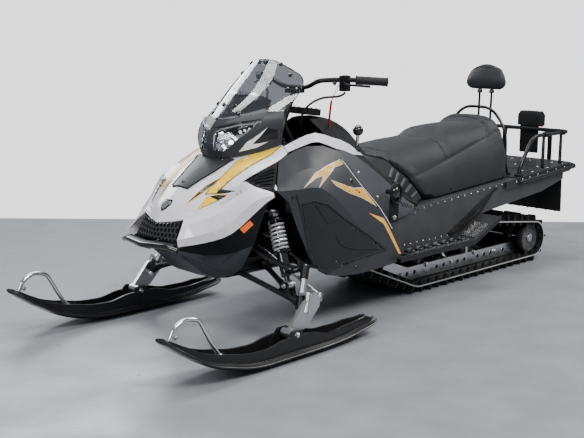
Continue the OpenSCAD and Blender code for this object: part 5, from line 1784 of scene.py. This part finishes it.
def build_stage():
    ahead = Vector((math.cos(PITCH) * math.cos(YAW), math.cos(PITCH) * math.sin(YAW),
                    math.sin(PITCH)))
    right = ahead.cross(Vector((0, 0, 1))).normalized()
    up = right.cross(ahead)
    right, up = (right * math.cos(ROLL) + up * math.sin(ROLL),
                 up * math.cos(ROLL) - right * math.sin(ROLL))
    lens = bpy.data.cameras.new("view")
    lens.lens = 65.03
    lens.sensor_width = 36.0
    camera = bpy.data.objects.new("view", lens)
    bpy.context.scene.collection.objects.link(camera)
    turn = Matrix((right, up, -ahead)).transposed()
    camera.matrix_world = Matrix.Translation(EYE) @ turn.to_4x4()
    bpy.context.scene.camera = camera
    # Floor that ends behind the machine, against a plain pale room
    flat = Vector((ahead.x, ahead.y, 0)).normalized()
    across = Vector((-flat.y, flat.x, 0))
    back = EYE + flat * FLOOR_ENDS
    back.z = -0.0005
    floor = bmesh.new()
    floor.faces.new([floor.verts.new(back + flat * d + across * s)
                     for d, s in ((0, 12), (0, -12), (-14, -12), (-14, 12))])
    bmesh.ops.recalc_face_normals(floor, faces=floor.faces)
    mesh = bpy.data.meshes.new("studio")
    floor.to_mesh(mesh)
    floor.free()
    mesh.materials.append(FINISHES["floor"])
    studio = bpy.data.objects.new("studio", mesh)
    bpy.context.scene.collection.objects.link(studio)
    world = bpy.data.worlds.new("room")
    bpy.context.scene.world = world
    world.use_nodes = True
    tree = world.node_tree
    fill = tree.nodes["Background"]
    fill.inputs["Color"].default_value = (0.88, 0.92, 1.0, 1.0)
    fill.inputs["Strength"].default_value = 0.28
    seen = tree.nodes.new("ShaderNodeBackground")
    seen.inputs["Color"].default_value = (0.93, 0.93, 0.95, 1.0)
    seen.inputs["Strength"].default_value = 2.1
    path = tree.nodes.new("ShaderNodeLightPath")
    both = tree.nodes.new("ShaderNodeMixShader")
    tree.links.new(path.outputs["Is Camera Ray"], both.inputs[0])
    tree.links.new(fill.outputs[0], both.inputs[1])
    tree.links.new(seen.outputs[0], both.inputs[2])
    tree.links.new(both.outputs[0], tree.nodes["World Output"].inputs["Surface"])
    add_lamp("key", (1.6, 3.6, 4.4), (0.2, 0.0, 0.4), (2.8, 1.6), 250, (1.0, 0.98, 0.95))
    add_lamp("front", (5.4, 0.6, 2.8), (0.6, 0.0, 0.6), (2.0, 1.6), 85, (0.95, 0.97, 1.0))
    add_lamp("rear", (-3.4, 2.4, 3.4), (-0.6, 0.0, 0.6), (2.6, 1.4), 130, (1.0, 0.98, 0.95))
    add_lamp("top", (-0.2, -0.6, 4.8), (0.0, 0.0, 0.4), (4.4, 1.4), 150, (1.0, 1.0, 1.0))
    add_lamp("far", (-0.4, -3.6, 2.6), (0.0, 0.0, 0.5), (3.4, 1.6), 110, (0.96, 0.98, 1.0))


# ---- operators ----
class SLED_OT_Stage(bpy.types.Operator):
    """Camera, floor, pale room and the soft lights"""

    bl_idname = "sled.stage"
    bl_label = "Studio"
    bl_options = {"REGISTER", "UNDO"}

    def execute(self, context):
        make_finishes(context.scene.sled_colours)
        build_stage()
        return {"FINISHED"}


class SLED_OT_Seat(bpy.types.Operator):
    """Padded two-step seat with piping"""

    bl_idname = "sled.seat"
    bl_label = "Seat"
    bl_options = {"REGISTER", "UNDO"}

    def execute(self, context):
        make_finishes(context.scene.sled_colours)
        build_seat(context.scene.sled_sizes)
        return {"FINISHED"}


class SLED_OT_Backrest(bpy.types.Operator):
    """Passenger's padded backrest on its two rods"""

    bl_idname = "sled.backrest"
    bl_label = "Backrest"
    bl_options = {"REGISTER", "UNDO"}

    def execute(self, context):
        make_finishes(context.scene.sled_colours)
        build_backrest(context.scene.sled_sizes)
        return {"FINISHED"}


class SLED_OT_Hood(bpy.types.Operator):
    """Gloss hood, its insert and the lightning stripes"""

    bl_idname = "sled.hood"
    bl_label = "Hood"
    bl_options = {"REGISTER", "UNDO"}

    def execute(self, context):
        make_finishes(context.scene.sled_colours)
        build_hood(context.scene.sled_sizes)
        return {"FINISHED"}


class SLED_OT_Nose(bpy.types.Operator):
    """Honeycomb grille, bumper, chin, cheeks and side vents"""

    bl_idname = "sled.nose"
    bl_label = "Nose"
    bl_options = {"REGISTER", "UNDO"}

    def execute(self, context):
        make_finishes(context.scene.sled_colours)
        build_nose(context.scene.sled_sizes)
        return {"FINISHED"}


class SLED_OT_Lamps(bpy.types.Operator):
    """Lamp cowl with lenses, bowls and projectors"""

    bl_idname = "sled.lamps"
    bl_label = "Headlamps"
    bl_options = {"REGISTER", "UNDO"}

    def execute(self, context):
        make_finishes(context.scene.sled_colours)
        build_lamps()
        return {"FINISHED"}


class SLED_OT_Windshield(bpy.types.Operator):
    """Clear screen with its smoked band and fittings"""

    bl_idname = "sled.windshield"
    bl_label = "Windshield"
    bl_options = {"REGISTER", "UNDO"}

    def execute(self, context):
        make_finishes(context.scene.sled_colours)
        build_windshield()
        return {"FINISHED"}


class SLED_OT_Cockpit(bpy.types.Operator):
    """Console, instrument, shift lever and tether"""

    bl_idname = "sled.cockpit"
    bl_label = "Cockpit"
    bl_options = {"REGISTER", "UNDO"}

    def execute(self, context):
        make_finishes(context.scene.sled_colours)
        build_cockpit()
        return {"FINISHED"}


class SLED_OT_SidePanels(bpy.types.Operator):
    """Charcoal panels, graphics, trims and the starter knob"""

    bl_idname = "sled.side_panels"
    bl_label = "Side panels"
    bl_options = {"REGISTER", "UNDO"}

    def execute(self, context):
        make_finishes(context.scene.sled_colours)
        build_side_panels()
        return {"FINISHED"}


class SLED_OT_Chassis(bpy.types.Operator):
    """Tunnel, front frame, boards and deck with their fasteners"""

    bl_idname = "sled.chassis"
    bl_label = "Chassis"
    bl_options = {"REGISTER", "UNDO"}

    def execute(self, context):
        make_finishes(context.scene.sled_colours)
        build_chassis()
        return {"FINISHED"}


class SLED_OT_Tail(bpy.types.Operator):
    """Rack, hoop, tail lamp, bumper and snow flap"""

    bl_idname = "sled.tail"
    bl_label = "Rack and tail"
    bl_options = {"REGISTER", "UNDO"}

    def execute(self, context):
        make_finishes(context.scene.sled_colours)
        build_tail()
        return {"FINISHED"}


class SLED_OT_Track(bpy.types.Operator):
    """Rubber belt with lug rows and drive lugs"""

    bl_idname = "sled.track"
    bl_label = "Track"
    bl_options = {"REGISTER", "UNDO"}

    def execute(self, context):
        make_finishes(context.scene.sled_colours)
        build_track(context.scene.sled_sizes)
        return {"FINISHED"}


class SLED_OT_Wheels(bpy.types.Operator):
    """Rails, wheels, springs and the drive axle"""

    bl_idname = "sled.wheels"
    bl_label = "Slide frame"
    bl_options = {"REGISTER", "UNDO"}

    def execute(self, context):
        make_finishes(context.scene.sled_colours)
        build_wheels()
        return {"FINISHED"}


class SLED_OT_Suspension(bpy.types.Operator):
    """Arms, shocks with springs, spindles and tie rods"""

    bl_idname = "sled.suspension"
    bl_label = "Front suspension"
    bl_options = {"REGISTER", "UNDO"}

    def execute(self, context):
        make_finishes(context.scene.sled_colours)
        build_suspension()
        return {"FINISHED"}


class SLED_OT_Skis(bpy.types.Operator):
    """Skis with their keels, bolts and loops"""

    bl_idname = "sled.skis"
    bl_label = "Skis"
    bl_options = {"REGISTER", "UNDO"}

    def execute(self, context):
        make_finishes(context.scene.sled_colours)
        build_skis()
        return {"FINISHED"}


class SLED_OT_Steering(bpy.types.Operator):
    """Handlebar, grips, controls and cables"""

    bl_idname = "sled.steering"
    bl_label = "Handlebar"
    bl_options = {"REGISTER", "UNDO"}

    def execute(self, context):
        make_finishes(context.scene.sled_colours)
        build_steering()
        return {"FINISHED"}


OPERATORS = (
    SLED_OT_Stage, SLED_OT_Seat, SLED_OT_Backrest, SLED_OT_Hood, SLED_OT_Nose, SLED_OT_Lamps,
    SLED_OT_Windshield, SLED_OT_Cockpit, SLED_OT_SidePanels, SLED_OT_Chassis, SLED_OT_Tail,
    SLED_OT_Track, SLED_OT_Wheels, SLED_OT_Suspension, SLED_OT_Skis, SLED_OT_Steering)


# ---- panel ----
class SLED_PT_Panel(bpy.types.Panel):
    """Colours, sizes and build steps of the snowmobile"""

    bl_idname = "SLED_PT_panel"
    bl_label = "Snowmobile"
    bl_space_type = "VIEW_3D"
    bl_region_type = "UI"
    bl_category = "Snowmobile"

    def draw(self, context):
        layout = self.layout
        for settings in (context.scene.sled_colours, context.scene.sled_sizes):
            box = layout.box()
            for name in settings.__annotations__:
                box.prop(settings, name)
        column = layout.column(align=True)
        for operator in OPERATORS:
            column.operator(operator.bl_idname)


CLASSES = (SledColours, SledSizes) + OPERATORS + (SLED_PT_Panel,)


def register():
    for cls in CLASSES:
        bpy.utils.register_class(cls)
    bpy.types.Scene.sled_colours = bpy.props.PointerProperty(type=SledColours)
    bpy.types.Scene.sled_sizes = bpy.props.PointerProperty(type=SledSizes)


def unregister():
    del bpy.types.Scene.sled_sizes
    del bpy.types.Scene.sled_colours
    for cls in reversed(CLASSES):
        bpy.utils.unregister_class(cls)


def main():
    """Build every step in order."""
    register()
    for operator in OPERATORS:
        group, name = operator.bl_idname.split(".")
        if getattr(getattr(bpy.ops, group), name)() != {"FINISHED"}:
            raise RuntimeError(operator.bl_label + " was not finished")


if __name__ == "__main__":
    main()
